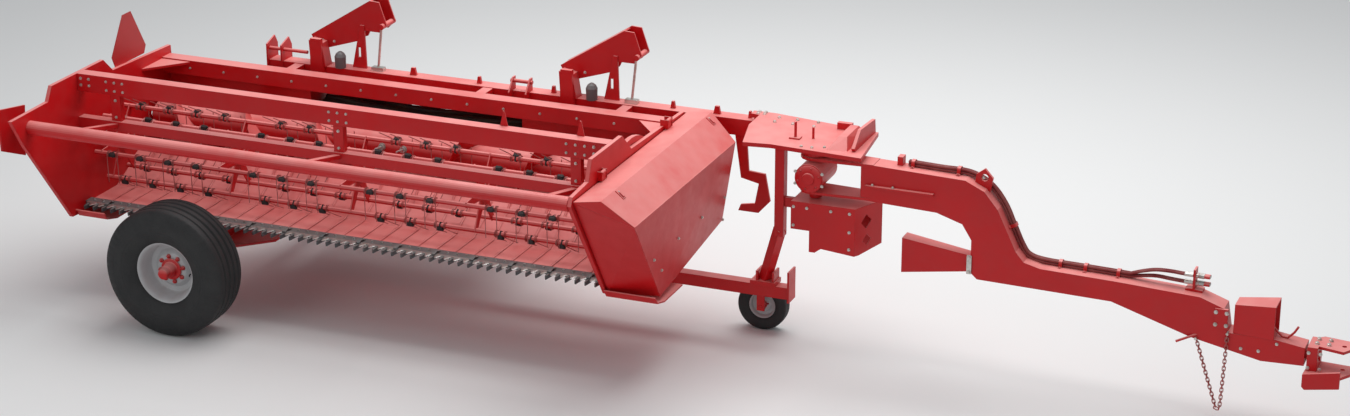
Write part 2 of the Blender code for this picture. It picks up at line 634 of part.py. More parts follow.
platform = [
    prism(plate, "z", *platform_z),
    box((tube_end - 0.10, tube_end - 0.01), (tube_y[0] + 0.01, tube_y[1] - 0.07), (seat, platform_z[0] + 0.01)),
    rod((SWIVEL_X, SWIVEL_Y, FORK_TOP + CLEAR), (SWIVEL_X, SWIVEL_Y, platform_z[0] + 0.01), 0.10, 24),
    rod((SWIVEL_X, SWIVEL_Y, FORK_BOTTOM - 0.05), (SWIVEL_X, SWIVEL_Y, PLATFORM_TOP - 0.01), SWIVEL_PIN, 16),
    prism(end_plate, "x", SWIVEL_X + 0.285, SWIVEL_X + 0.31),
    hull([(x, y, PLATFORM_TOP - 0.01) for x, y in cover_base] + [(x, y, PLATFORM_TOP + 0.075) for x, y in cover_ridge]),
    box((SWIVEL_X + 0.03, SWIVEL_X + 0.14), (1.32, 1.36), (PLATFORM_TOP - 0.01, PLATFORM_TOP + 0.05)),
]
node("swivel_platform", RED, platform)

# --- tongue ------------------------------------------------------------------------------------------------------------------

tongue_y = (SWIVEL_Y - TONGUE_WIDTH / 2, SWIVEL_Y + TONGUE_WIDTH / 2)


def reach(offset):
    """X on the tongue, from an offset that is 3.53 m at the hitch shaft."""
    return SWIVEL_X + offset * TONGUE_REACH / 3.53


tongue_side = [
    (0.36, FORK_BOTTOM), (0.92, 1.21), (1.11, 1.15), (1.18, 1.04), (1.18, 0.80), (1.23, 0.755), (2.19, 0.735),
    (2.75, 0.56), (3.24, 0.46), (3.53, 0.47), (3.53, 0.60), (3.32, 0.63), (3.00, 0.63), (2.97, 0.80),
    (2.80, 0.86), (2.24, 0.885), (1.68, 0.90), (1.56, 0.93), (1.50, 1.00), (1.36, 1.29), (1.26, 1.41),
    (1.12, 1.475), (0.36, FORK_TOP),
]
fork = arc((SWIVEL_X, SWIVEL_Y), 0.11, 90, 270, 8)
fork += [(SWIVEL_X + 0.45, tongue_y[0] + 0.001), (SWIVEL_X + 0.45, tongue_y[1] - 0.001)]
EYE_AT = (reach(1.24), SWIVEL_Y, 1.49)
tongue = [
    prism([(reach(x), z) for x, z in tongue_side], "y", *tongue_y),
    prism(fork, "z", FORK_BOTTOM, FORK_BOTTOM + FORK_PLATE),
    prism(fork, "z", FORK_TOP - FORK_PLATE, FORK_TOP),
    box((reach(0.60), reach(0.64)), (SWIVEL_Y + 0.005, SWIVEL_Y + 0.072), (1.48, 1.555)),
    pipe([(reach(2.80), tongue_y[0] + 0.01, 0.585), (reach(2.74), tongue_y[0] - 0.020, 0.565),
          (reach(2.66), tongue_y[0] - 0.020, 0.522)], 0.009),
    pipe([(reach(3.30), SWIVEL_Y, 0.690), (reach(3.33), SWIVEL_Y, 0.655), (reach(3.36), SWIVEL_Y, 0.630),
          (reach(3.40), SWIVEL_Y, 0.627), (reach(3.44), SWIVEL_Y, 0.670), (reach(3.465), SWIVEL_Y, 0.715)], 0.008),
    prism([(reach(1.17), 1.43), (reach(1.28), 1.37), (reach(1.30), 1.49), (reach(1.24), 1.555), (reach(1.18), 1.51)],
          "y", SWIVEL_Y - 0.012, SWIVEL_Y + 0.012),
    box((reach(0.40), reach(0.90)), (tongue_y[0] - 0.03, tongue_y[0] + 0.01), (1.335, 1.350)),
    box((reach(2.91), reach(3.00)), (tongue_y[0] - 0.014, tongue_y[0] + 0.01), (0.66, 0.80)),
]
node(
    "tongue", RED, tongue,
    [
        bore((SWIVEL_X, SWIVEL_Y, 1.0), (SWIVEL_X, SWIVEL_Y, 1.7), SWIVEL_PIN),
        bore((HITCH_X - 0.12, SWIVEL_Y, HITCH_Z), (HITCH_X + 0.1, SWIVEL_Y, HITCH_Z), HITCH_SHAFT),
        rod((EYE_AT[0], SWIVEL_Y - 0.1, EYE_AT[2]), (EYE_AT[0], SWIVEL_Y + 0.1, EYE_AT[2]), 0.027, 16),
    ],
    pivot=(SWIVEL_X, SWIVEL_Y, FORK_TOP),
)

gearbox_z = (FORK_BOTTOM + FORK_TOP) / 2
node(
    "swivel_gearbox", RED,
    [rod((SWIVEL_X, SWIVEL_Y - 0.16, gearbox_z), (SWIVEL_X, SWIVEL_Y + 0.16, gearbox_z), 0.105, 24)],
    [rod((SWIVEL_X, SWIVEL_Y, 1.0), (SWIVEL_X, SWIVEL_Y, 1.7), SWIVEL_PIN + GAP, 16)],
    round_angle=40,
)

hitch_x = (HITCH_X + 0.02, HITCH_X + HITCH_LENGTH)
wing_y = SWIVEL_Y - 0.17
top_plate = [
    (HITCH_X + 0.05, SWIVEL_Y - 0.05), (hitch_x[1] - 0.05, SWIVEL_Y - 0.10), (hitch_x[1], SWIVEL_Y - 0.02),
    (hitch_x[1] - 0.02, SWIVEL_Y + 0.10), (HITCH_X + 0.10, SWIVEL_Y + 0.13), (HITCH_X + 0.04, SWIVEL_Y + 0.08),
]
low_plate = [
    (HITCH_X + 0.01, wing_y), (HITCH_X + 0.24, wing_y), (hitch_x[1], SWIVEL_Y - 0.06),
    (hitch_x[1], SWIVEL_Y + 0.08), (hitch_x[0], SWIVEL_Y + 0.10),
]
wing = [(HITCH_X + 0.01, HITCH_Z - 0.08), (HITCH_X + 0.26, HITCH_Z - 0.03), (HITCH_X + 0.26, HITCH_Z - 0.15),
        (HITCH_X + 0.03, HITCH_Z - 0.19), (HITCH_X + 0.01, HITCH_Z - 0.17)]
hitch = [
    rod((HITCH_X - 0.10, SWIVEL_Y, HITCH_Z), (HITCH_X + 0.10, SWIVEL_Y, HITCH_Z), HITCH_SHAFT, 16),
    box((hitch_x[0], HITCH_X + 0.09), (SWIVEL_Y - 0.10, SWIVEL_Y + 0.10), (HITCH_Z - 0.12, HITCH_Z + 0.09)),
    prism(top_plate, "z", HITCH_Z + 0.07, HITCH_Z + 0.09),
    prism(low_plate, "z", HITCH_Z - 0.10, HITCH_Z - 0.08),
    prism(wing, "y", wing_y - 0.01, wing_y + 0.01),
]
hitch_pin = rod((HITCH_X + 0.25, SWIVEL_Y, HITCH_Z - 0.3), (HITCH_X + 0.25, SWIVEL_Y, HITCH_Z + 0.3), 0.016, 16)
node("hitch_clevis", RED, hitch, [hitch_pin], pivot=(HITCH_X, SWIVEL_Y, HITCH_Z))


def funnel(x, low, high, half, far, far_low, far_high, far_half, wall):
    """A four-sided driveline shield open at both ends: its outside and the cutter for its inside."""
    made = []
    for grow in (0.0, wall):
        ends = ((x - grow, low + grow, high - grow, half - grow),
                (far + grow, far_low + grow, far_high - grow, far_half - grow))
        made.append(hull([(a, SWIVEL_Y + s * h, z) for a, b, c, h in ends for s in (-1, 1) for z in (b, c)]))
    return made


rear_outer, rear_inner = funnel(reach(0.67), 0.72, 0.98, 0.06, reach(1.18) - GAP, 0.795, 0.91, 0.045, 0.006)
node("rear_pto_shield", RED, [rear_outer], [rear_inner])
front_outer, front_inner = funnel(
    reach(3.04), 0.63 + GAP, 0.84, 0.075, reach(3.32), 0.63 + GAP, 0.87, 0.10, 0.006
)
node("front_pto_shield", RED, [front_outer], [front_inner])

# --- hoses, hose holder, hook and chain on the tongue -------------------------------------------------------------------------

tongue_top = [(reach(x), z) for x, z in reversed(tongue_side[14:])]


def above(x):
    """Height of the tongue's top at x."""
    for (x0, z0), (x1, z1) in zip(tongue_top, tongue_top[1:]):
        if x0 <= x <= x1:
            return z0 + (z1 - z0) * (x - x0) / (x1 - x0)
    return tongue_top[-1][1]


def offset(route, distance):
    """A route moved square to itself, to its left."""
    return sheet(route, distance)[: len(route) - 1 : -1]


first = reach(0.64) + GAP
holder_x = reach(2.73)
on_top = [(first, above(first))] + [p for p in tongue_top if first < p[0] < reach(2.25)] + [(reach(2.30), above(reach(2.30)))]
hose_y = (SWIVEL_Y + 0.026, SWIVEL_Y + 0.048)
hoses = []
for layer, (mid_z, end_z) in enumerate(((0.925, 0.915), (0.970, 0.970))):
    run = offset(on_top, (2 * layer + 1) * (HOSE_RADIUS + 0.0005))
    run += [(reach(2.47), mid_z), (reach(2.57), end_z + 0.006), (reach(2.65), end_z), (holder_x - GAP, end_z)]
    for y in hose_y:
        hoses.append(pipe([(x, y, z) for x, z in run], HOSE_RADIUS, 8))
for x in (first + 0.02, reach(1.43), reach(1.80), reach(1.94), reach(2.20)):
    low, high = above(x - 0.02) + GAP, above(x + 0.02) + GAP
    if x < reach(1.35) or x > reach(1.60):
        clip = [(x - 0.02, low), (x + 0.02, high), (x + 0.02, high + 0.046), (x - 0.02, low + 0.046)]
    else:
        clip = [(x - 0.02, low), (x + 0.02, high), (x + 0.07, high + 0.03), (x + 0.03, low + 0.03)]
    hoses.append(prism(clip, "y", hose_y[0] - 0.014, hose_y[1] + 0.014))
node("hose_bundle", BLACK, hoses, round_angle=50)

holder = [
    (reach(2.68), above(reach(2.68)) + GAP), (reach(2.80), above(reach(2.80)) + GAP), (reach(2.80), 0.875),
    (reach(2.745), 0.88), (reach(2.745), 1.02), (holder_x, 1.02), (holder_x, 0.885), (reach(2.68), 0.88),
]
couplers = [
    rod((reach(2.74), y, z), (reach(2.84), y, z), 0.013, 12) for y in hose_y for z in (0.915, 0.970)
]
node("hose_holder", RED, [prism(holder, "y", hose_y[0] - 0.03, hose_y[1] + 0.03)] + couplers)

chain_y = tongue_y[0] - GAP - CHAIN_RADIUS
chain = [
    (reach(2.795), chain_y, 0.560), (reach(2.95), chain_y, 0.100), (reach(2.965), chain_y, 0.060),
    (reach(2.985), chain_y, 0.060), (reach(2.99), chain_y, 0.100), (reach(3.005), chain_y, 0.620),
]
node("safety_chain", ZINC, [pipe(chain, CHAIN_RADIUS, 8)], round_angle=50)

# --- transport chassis -------------------------------------------------------------------------------------------------------

axle_z = (WHEEL_RADIUS - AXLE_BEAM / 2, WHEEL_RADIUS + AXLE_BEAM / 2)
axle_x = (WHEEL_X - AXLE_BEAM / 2, WHEEL_X + AXLE_BEAM / 2)
chassis_y = (CHASSIS_Y - CHASSIS_TUBE / 2, CHASSIS_Y + CHASSIS_TUBE / 2)
chassis_z = (CHASSIS_TUBE_Z - CHASSIS_TUBE / 2, CHASSIS_TUBE_Z + CHASSIS_TUBE / 2)
chassis_end = SWIVEL_X - 0.20
gusset = [
    (WHEEL_X, FRONT_WHEEL_Y + 0.34), (WHEEL_X + 0.42, FRONT_WHEEL_Y + 0.76),
    (WHEEL_X + 0.42, chassis_y[0] + 0.01), (WHEEL_X, chassis_y[0] + 0.01),
]
chassis = [
    box(axle_x, (FRONT_WHEEL_Y + 0.21, REAR_WHEEL_Y - 0.21), axle_z),
    box((WHEEL_X, chassis_end), chassis_y, chassis_z),
    box((axle_x[0] + 0.01, axle_x[1] + 0.05), (chassis_y[0] - 0.02, chassis_y[1] + 0.02), (chassis_z[0] - 0.01, WHEEL_RADIUS)),
    rod((WHEEL_X, FRONT_WHEEL_Y - 0.07, WHEEL_RADIUS), (WHEEL_X, REAR_WHEEL_Y + 0.07, WHEEL_RADIUS), AXLE_STUB, 16),
    prism(gusset, "z", WHEEL_RADIUS - 0.01, WHEEL_RADIUS + 0.01),
    box((WHEEL_X + 0.38, WHEEL_X + 0.42), (chassis_y[0] - 0.02, chassis_y[0] + 0.02), (chassis_z[0], WHEEL_RADIUS)),
    box((chassis_end - 0.015, chassis_end), (chassis_y[0] - 0.02, chassis_y[1] + 0.03), (chassis_z[0] - 0.02, chassis_z[1] + 0.13)),
]
node("transport_chassis", RED, chassis)

node("left_frame_leg", RED, [box((axle_x[0] + 0.005, axle_x[1] - 0.005), tube_y, (axle_z[1] + GAP, tube_z[0] - GAP))])

leg_x = SWIVEL_X - 0.26
foot_x = SWIVEL_X - 0.41
leg = [
    bar((leg_x, 0.95, platform_z[0] - GAP), (leg_x, 0.95, 0.85), 0.07, 0.07),
    bar((leg_x - 0.002, 0.95, 0.90), (foot_x, CHASSIS_Y, 0.445), 0.068, 0.07),
    box((foot_x - 0.09, foot_x + 0.10), (CHASSIS_Y - 0.07, CHASSIS_Y + 0.07), (chassis_z[1] + GAP, chassis_z[1] + 0.035)),
    box((foot_x - 0.05, foot_x - 0.035), (CHASSIS_Y - 0.06, CHASSIS_Y + 0.06), (chassis_z[1] + 0.01, chassis_z[1] + 0.11)),
    box((foot_x + 0.075, foot_x + 0.09), (CHASSIS_Y - 0.06, CHASSIS_Y + 0.06), (chassis_z[1] + 0.01, chassis_z[1] + 0.11)),
]
node("right_frame_leg", RED, leg)

guard_y = (SWIVEL_Y - 0.13, SWIVEL_Y + 0.13)
guard_x = (SWIVEL_X - 0.14, SWIVEL_X + 0.34, SWIVEL_X + 0.46)


def guard_plan(wall):
    """The guard seen from above: its right end stands at a slant."""
    return [
        (guard_x[0] + wall, guard_y[0] + wall), (guard_x[1] - wall, guard_y[0] + wall),
        (guard_x[2] - wall, guard_y[1] - wall), (guard_x[0] + wall, guard_y[1] - wall),
    ]


slant = Vector((guard_y[1] - guard_y[0], guard_x[1] - guard_x[2], 0.0)).normalized()
guard_holes = []
for part_way, z, radius in ((0.42, 1.05, 0.055), (0.45, 0.91, 0.045)):
    hole = Vector((
        guard_x[1] + (guard_x[2] - guard_x[1]) * part_way, guard_y[0] + (guard_y[1] - guard_y[0]) * part_way, z
    ))
    guard_holes.append(rod(hole - slant * 0.05, hole + slant * 0.05, radius, 4))
node(
    "driveline_guard", RED,
    [
        prism(guard_plan(0.0), "z", 0.80, 1.17),
        box((leg_x + 0.035 + GAP, guard_x[0] + 0.02), (0.93, 0.97), (1.08, 1.15)),
    ],
    [
        prism(guard_plan(0.008), "z", 0.70, 1.162),
        box((guard_x[0] - 0.1, SWIVEL_X), (guard_y[0] - 0.1, guard_y[1] + 0.1), (0.7, 0.96)),
        prism([(SWIVEL_X + 0.03, 0.79), (SWIVEL_X + 0.09, 0.835), (guard_x[1] + 0.02, 0.81), (guard_x[2] + 0.05, 0.86),
               (guard_x[2] + 0.05, 0.79)], "y", guard_y[0] - 0.1, guard_y[1] + 0.1),
    ] + guard_holes,
)

# --- wheels -------------------------------------------------------------------------------------------------------------------


def tyre_profile(radius, width, seat):
    """Half outline of a tyre as (across, radius), from one bead over the tread to the other."""
    half = width / 2
    return [
        (-half * 0.62, seat), (-half * 0.80, seat + 0.02), (-half, seat + (radius - seat) * 0.45),
        (-half * 0.97, seat + (radius - seat) * 0.75), (-half * 0.80, radius - 0.012), (-half * 0.4, radius),
    ]


def wheel(prefix, centre, radius, width, seat, bore_radius, dish, sides):
    """A tyre and the dished rim inside it, turned about Y through the centre."""
    x, y, z = centre
    line = ((x, y - 1.0, z), (x, y, z))
    half = tyre_profile(radius, width, seat)
    profile = half + [(-a, r) for a, r in reversed(half)]
    tyre = turned([(a + 1.0, r) for a, r in profile], *line, sides)
    hole = rod((x, y - 1.0, z), (x, y + 1.0, z), seat, sides)
    node(prefix + "_tyre", TYRE, [tyre], [hole], pivot=centre, round_angle=40)
    rim_half = width / 2 * 0.62
    rim = turned([(1.0 - rim_half, seat - GAP), (1.0 + rim_half, seat - GAP)], *line, sides)
    cuts = [
        turned([(0.99 - rim_half, seat - 0.008), (0.988 + dish, seat - 0.03)], *line, sides),
        turned([(1.012 + dish, seat - 0.03), (1.01 + rim_half, seat - 0.008)], *line, sides),
        rod((x, y - 1.0, z), (x, y + 1.0, z), bore_radius, 16),
    ]
    node(prefix + "_rim", GREY, [rim], cuts, pivot=centre, round_angle=40)


wheel("front_wheel", (WHEEL_X, FRONT_WHEEL_Y, WHEEL_RADIUS), WHEEL_RADIUS, WHEEL_WIDTH, RIM_SEAT, HUB_BORE, -0.02, 36)
wheel("rear_wheel", (WHEEL_X, REAR_WHEEL_Y, WHEEL_RADIUS), WHEEL_RADIUS, WHEEL_WIDTH, RIM_SEAT, HUB_BORE, 0.02, 36)
wheel("stand_wheel", (STAND_X, STAND_Y, STAND_RADIUS), STAND_RADIUS, STAND_WIDTH, 0.10, STAND_AXLE + 0.001, 0.0, 28)

cheek_out = STAND_WIDTH / 2 + 0.02
cheek_in = STAND_WIDTH / 2 + 0.008
cheek_z = (STAND_RADIUS - 0.03, chassis_z[1] - 0.01)
stand = [
    box((STAND_X - 0.05, STAND_X + 0.05), (chassis_y[1] + GAP, STAND_Y + 0.10), (2 * STAND_RADIUS + 0.015, chassis_z[1])),
    box((STAND_X - 0.03, STAND_X + 0.03), (STAND_Y - cheek_out, STAND_Y - cheek_in), cheek_z),
    box((STAND_X - 0.03, STAND_X + 0.03), (STAND_Y + cheek_in, STAND_Y + cheek_out), cheek_z),
    rod((STAND_X, STAND_Y - cheek_out - 0.01, STAND_RADIUS), (STAND_X, STAND_Y + cheek_out + 0.01, STAND_RADIUS), STAND_AXLE, 12),
]
node("stand_wheel_fork", RED, stand)

# --- drive shield -----------------------------------------------------------------------------------------------------------------

shield_x = RIGHT + PANEL + CLEAR


def shield_body(grow, x_in):
    """The bulged cover, or the hollow inside it when grow is negative."""
    shoulder = shield_x + SHIELD_DEPTH - 0.22
    belly = shield_x + SHIELD_DEPTH + grow
    foot = shield_x + SHIELD_DEPTH - 0.07 + grow
    return hull([
        (x_in, -0.67 - grow, 1.53 + grow), (x_in, 1.40 + grow, 1.53 + grow), (x_in, 1.26 + grow, 0.80 - grow),
        (x_in, -0.08 - grow, 0.65 - grow),
        (shoulder, -0.69 - grow, 1.57 + grow), (shoulder, 1.36 + grow, 1.57 + grow),
        (belly, -0.62 - grow, 1.39 + grow), (belly, 1.28 + grow, 1.39 + grow),
        (foot, 0.00 - grow, 0.65 - grow), (foot, 1.20 + grow, 0.80 - grow),
    ])


shield = [shield_body(0.0, shield_x)]
shield_cuts = [shield_body(-SHIELD_SHEET, shield_x - 0.02)]
for y in COVER_HINGE_Y:
    knuckle = (y - COVER_KNUCKLE / 2, y + COVER_KNUCKLE / 2)
    shield.append(rod((cover_x, knuckle[0], cover_z), (cover_x, knuckle[1], cover_z), COVER_PIN + 0.007, 20))
    shield.append(box((cover_x - 0.010, cover_x + 0.010), knuckle, (1.530, cover_z)))
    shield_cuts.append(bore((cover_x, y - 0.1, cover_z), (cover_x, y + 0.1, cover_z), COVER_PIN))
node("drive_shield", RED, shield, shield_cuts, pivot=(cover_x, 0.35, cover_z))

drive_x = (RIGHT + PANEL + GAP, RIGHT + PANEL + 0.16)
node("knife_drive_box", DARK, [box(drive_x, (-0.05, 0.25), (CUTTERBAR_TOP, 1.05))])

# --- small pieces -------------------------------------------------------------------------------------------------------------------

shoe = sheet([(-0.15, 0.69), (-0.11, 0.635), (0.02, 0.600), (0.36, 0.600)], 0.010)
for name, shoe_x, web_x, front_z, rear_z in (
    ("left_skid", (GAP, 0.25), (-PANEL, 0.0), 0.6394, 0.6228),
    ("right_skid", (RIGHT + PANEL + GAP, RIGHT + 0.42), (RIGHT, RIGHT + PANEL), 0.6433, 0.6233),
):
    web = [(0.0, 0.602), (0.30, 0.602), (0.30, rear_z - GAP), (0.0, front_z - GAP)]
    flange_x = (web_x[0], web_x[1] + 0.02)
    node(name, RED, [
        prism(shoe, "x", *shoe_x),
        prism(web, "x", *web_x),
        box(flange_x, (0.03, 0.30), (0.601, 0.609)),
    ])

marker_x = (-PANEL - GAP - 0.003, -PANEL - GAP)
marker = [(0.70, 1.98), (0.82, 1.98), (1.00, 1.66), (0.97, 1.60), (0.56, 1.60), (0.52, 1.69)]
node("marker_plate", GREY, [prism(marker, "x", *marker_x)])

flap = [(-0.80, 1.66), (-0.46, 1.60), (-0.50, 1.22), (-0.78, 1.34)]
node(
    "left_outboard_bracket", RED,
    [
        prism(flap, "x", -OUTBOARD, -OUTBOARD + 0.015),
        rod((-OUTBOARD + 0.01, -0.60, 1.48), (-PANEL - GAP, -0.60, 1.48), 0.04, 16),
    ],
)
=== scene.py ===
# %% [markdown]
# # A pull-type mower conditioner
# The machine cuts hay with a sickle, sweeps it in with a reel, moves it to the middle with an auger and cracks the
# stems between two rubber rolls. Here it is parked for the road, with its tongue swung in line with the header.
# The solids of its frame come ready made. This lesson gives them their finishes and adds the parts that were too
# fine for a solid: tyre ribs, reel tines, knife, roll lugs, chain links, bolts and hose clips.

import json

import bpy
import numpy as np
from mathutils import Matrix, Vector


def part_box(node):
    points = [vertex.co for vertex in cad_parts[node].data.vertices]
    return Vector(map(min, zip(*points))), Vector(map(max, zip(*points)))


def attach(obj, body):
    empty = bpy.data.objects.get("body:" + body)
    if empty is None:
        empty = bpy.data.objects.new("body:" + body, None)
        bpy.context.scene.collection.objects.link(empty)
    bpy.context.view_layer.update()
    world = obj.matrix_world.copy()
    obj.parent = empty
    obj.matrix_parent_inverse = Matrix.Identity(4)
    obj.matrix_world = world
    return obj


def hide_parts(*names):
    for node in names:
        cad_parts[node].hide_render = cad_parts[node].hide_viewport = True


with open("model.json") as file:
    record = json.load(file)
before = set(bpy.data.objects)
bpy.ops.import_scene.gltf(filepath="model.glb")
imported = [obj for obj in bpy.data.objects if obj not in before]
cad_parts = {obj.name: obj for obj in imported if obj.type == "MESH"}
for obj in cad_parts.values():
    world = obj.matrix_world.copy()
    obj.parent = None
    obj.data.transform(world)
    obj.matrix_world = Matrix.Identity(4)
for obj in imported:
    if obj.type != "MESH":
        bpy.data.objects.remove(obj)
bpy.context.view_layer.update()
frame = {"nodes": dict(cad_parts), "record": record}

# %% [markdown]
# ## Where things are
# Sizes on this machine are easiest to give from the header's own corner: x runs along the header from the inner
# face of the left end panel, y runs backwards from the front of the top beam, z is the height above the ground. The
# front tyre's middle is at (1.03, -0.46) in those sizes, which tells how far the corner is from the frame's origin.

# %% The header's corner
tyre_low, tyre_high = (np.array(corner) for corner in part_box("front_wheel_tyre"))
WHEEL_X, FRONT_WHEEL_Y, REAR_WHEEL_Y, TYRE_RADIUS = 1.03, -0.46, 2.56, 0.4925
CORNER = np.array([(tyre_low[0] + tyre_high[0]) / 2 - WHEEL_X,
                   (tyre_low[1] + tyre_high[1]) / 2 - FRONT_WHEEL_Y, 0.0])
X, Y, Z = np.eye(3)
TAU = 2 * np.pi
print("header corner in the frame:", CORNER.round(4))

# %% [markdown]
# ## Shapes as arrays
# Every added piece is a surface worked out with numpy. A solid is a pair of arrays: its points and its faces. A face
# has four corners, and a triangle has -1 as its last one. Rings of points joined one after another make almost all
# of the shapes: a bolt head, a tyre and a spring tine differ only in how their rings are worked out.

# %% Joining rings into a closed solid
def tidy_faces(faces):
    """Moves the -1 entries of each face to its end, and drops faces with fewer than three corners."""
    order = np.argsort(faces < 0, axis=1, kind="stable")
    faces = np.take_along_axis(faces, order, 1)
    return faces[(faces >= 0).sum(1) >= 3]


def outward(points, faces):
    """Turns the faces out. The volume is a sixth of the sum of a . (b x c) over the triangles; if it is below
    zero, every face is read backwards."""
    a, b, c, d = (points[faces[:, k]] for k in range(4))
    volume = np.einsum("ij,ij->", a, np.cross(b, c)) + np.einsum(
        "ij,ij->", a[faces[:, 3] >= 0], np.cross(c, d)[faces[:, 3] >= 0])
    return points, faces if volume > 0 else tidy_faces(faces[:, ::-1])


def loft(rings, around=False):
    """Corner j of ring i is joined to corners j and j + 1 of ring i + 1. Fans close both ends, or, with around,
    the last ring is joined to the first."""
    rings = np.asarray(rings, float)
    count, sides, _ = rings.shape
    i, j = np.meshgrid(np.arange(count if around else count - 1), np.arange(sides), indexing="ij")
    after, beside = (i + 1) % count, (j + 1) % sides
    quads = np.stack([i * sides + j, i * sides + beside, after * sides + beside, after * sides + j], -1)
    points, faces = rings.reshape(-1, 3), quads.reshape(-1, 4)
    if not around:
        j, last = np.arange(sides), (count - 1) * sides
        middle, none = np.full(sides, count * sides), np.full(sides, -1)
        faces = np.vstack([faces, np.stack([middle, (j + 1) % sides, j, none], -1),
                           np.stack([middle + 1, last + j, last + (j + 1) % sides, none], -1)])
        points = np.vstack([points, rings[0].mean(0), rings[-1].mean(0)])
    return outward(points, faces)


def join(*solids):
    """Puts solids into one pair of arrays; the corners of each are counted on from the one before."""
    starts = np.cumsum([0] + [len(points) for points, _ in solids[:-1]])
    faces = [np.where(faces < 0, -1, faces + start) for (_, faces), start in zip(solids, starts)]
    return np.vstack([points for points, _ in solids]), np.vstack(faces)


def copies(solid, turns, places):
    """One copy for each turn and place: point = turn . point + place."""
    points, faces = solid
    turns, places = np.broadcast_to(turns, (len(places), 3, 3)), np.asarray(places, float)
    moved = np.einsum("mij,nj->mni", turns, points) + places[:, None, :]
    counted = faces[None] + (np.arange(len(places)) * len(points))[:, None, None]
    return moved.reshape(-1, 3), np.where(faces[None] < 0, -1, counted).reshape(-1, 4)


def weld(points, faces):
    """Merges points at the same place, so poles and seams are closed."""
    _, first, same = np.unique(points.round(6), axis=0, return_index=True, return_inverse=True)
    faces = np.where(faces >= 0, same.ravel()[faces], -1)
    twice = (faces >= 0) & (faces == np.roll(faces, -1, axis=1))
    return points[first], tidy_faces(np.where(twice, -1, faces))


print("loft, join, copies and weld are ready")

# %% Paths, turnings and plates
def curve(knots, each):
    """A smooth path through the knots. Between b and c, with a before and d after, it is half of
    2b + (c - a) t + (2a - 5b + 4c - d) t^2 + (3b - a - 3c + d) t^3."""
    k = np.asarray(knots, float)
    k = np.vstack([2 * k[0] - k[1], k, 2 * k[-1] - k[-2]])
    t = np.linspace(0, 1, each, endpoint=False)[None, :, None]
    a, b, c, d = (k[i:len(k) - 3 + i, None, :] for i in range(4))
    path = (2 * b + (c - a) * t + (2 * a - 5 * b + 4 * c - d) * t**2 + (3 * b - a - 3 * c + d) * t**3) / 2
    return np.vstack([path.reshape(-1, k.shape[1]), k[-2]])


def circle(sides, radius=1.0):
    """Points at radius times (cos, sin) of equal angles."""
    angle = np.arange(sides) * TAU / sides
    return np.stack([np.cos(angle), np.sin(angle)], -1) * radius


def sweep(path, outline, across, around=False):
    """Carries an outline along a path: point = path + u side + v lift. Side is the across direction made square to
    the path, and lift is the path's direction times side."""
    path = np.asarray(path, float)
    ahead = np.roll(path, -1, 0) - np.roll(path, 1, 0) if around else np.gradient(path, axis=0)
    ahead /= np.linalg.norm(ahead, axis=1, keepdims=True)
    side = across - (ahead @ across)[:, None] * ahead
    side /= np.linalg.norm(side, axis=1, keepdims=True)
    lift = np.cross(ahead, side)
    rings = path[:, None] + outline[None, :, :1] * side[:, None] + outline[None, :, 1:] * lift[:, None]
    return loft(rings, around)


def turned(profile, centre, axis, sides):
    """Turns a profile of (radius, along) about an axis: centre + along axis + radius (u cos + v sin)."""
    profile = np.asarray(profile, float)
    u = np.cross(axis, X if abs(axis[0]) < 0.9 else Y)
    v = np.cross(axis, u)
    angle = np.arange(sides) * TAU / sides
    spoke = np.cos(angle)[:, None] * u + np.sin(angle)[:, None] * v
    rings = centre + profile[None, :, 1:] * axis + profile[None, :, :1] * spoke[:, None, :]
    return loft(rings, around=True)


def plate(outline, low, high, across, chamfer=0.002):
    """A flat outline given in the two axes other than `across`, from low to high, with its two edges drawn in
    towards its middle by the chamfer."""
    outline = np.asarray(outline, float)
    drawn = outline.mean(0) - outline
    inner = outline + drawn / np.linalg.norm(drawn, axis=1, keepdims=True) * chamfer
    levels = ((low, inner), (low + chamfer, outline), (high - chamfer, outline), (high, inner))
    rings = [np.insert(shape, across, level, axis=1) for level, shape in levels]
    return loft(rings)


def block(x, y, z, chamfer=0.003):
    """A bar between two corners, as a plate with a rectangle for its outline."""
    return plate([(x[0], y[0]), (x[1], y[0]), (x[1], y[1]), (x[0], y[1])], z[0], z[1], 2, chamfer)


def rod(start, end, radius, sides=12):
    """A round bar between two points with its ends chamfered by an eighth of its radius."""
    start, end = np.asarray(start, float), np.asarray(end, float)
    length = np.linalg.norm(end - start)
    c = radius / 8
    return turned([(0, 0), (radius - c, 0), (radius, c), (radius, length - c), (radius - c, length), (0, length)],
                  start, (end - start) / length, sides)


def facing(directions):
    """Turns whose third column is each direction, the first square to it and to the vertical."""
    z = np.asarray(directions, float)
    z = z / np.linalg.norm(z, axis=1, keepdims=True)
    x = np.cross(np.where(np.abs(z[:, 2:]) > 0.9, Y[None], Z[None]), z)
    x /= np.linalg.norm(x, axis=1, keepdims=True)
    return np.stack([x, np.cross(z, x), z], -1)


print("curve, sweep, turned, plate, block and rod are ready")

# %% [markdown]
# ## From arrays to a piece
# A piece is a mesh whose points are already in the frame, so its object stays at the origin, unturned. It rides on
# one of the frame's bodies and takes its finish from one of the record's material slots. Edges sharper than 35
# degrees stay crisp and the rest is shaded smooth.

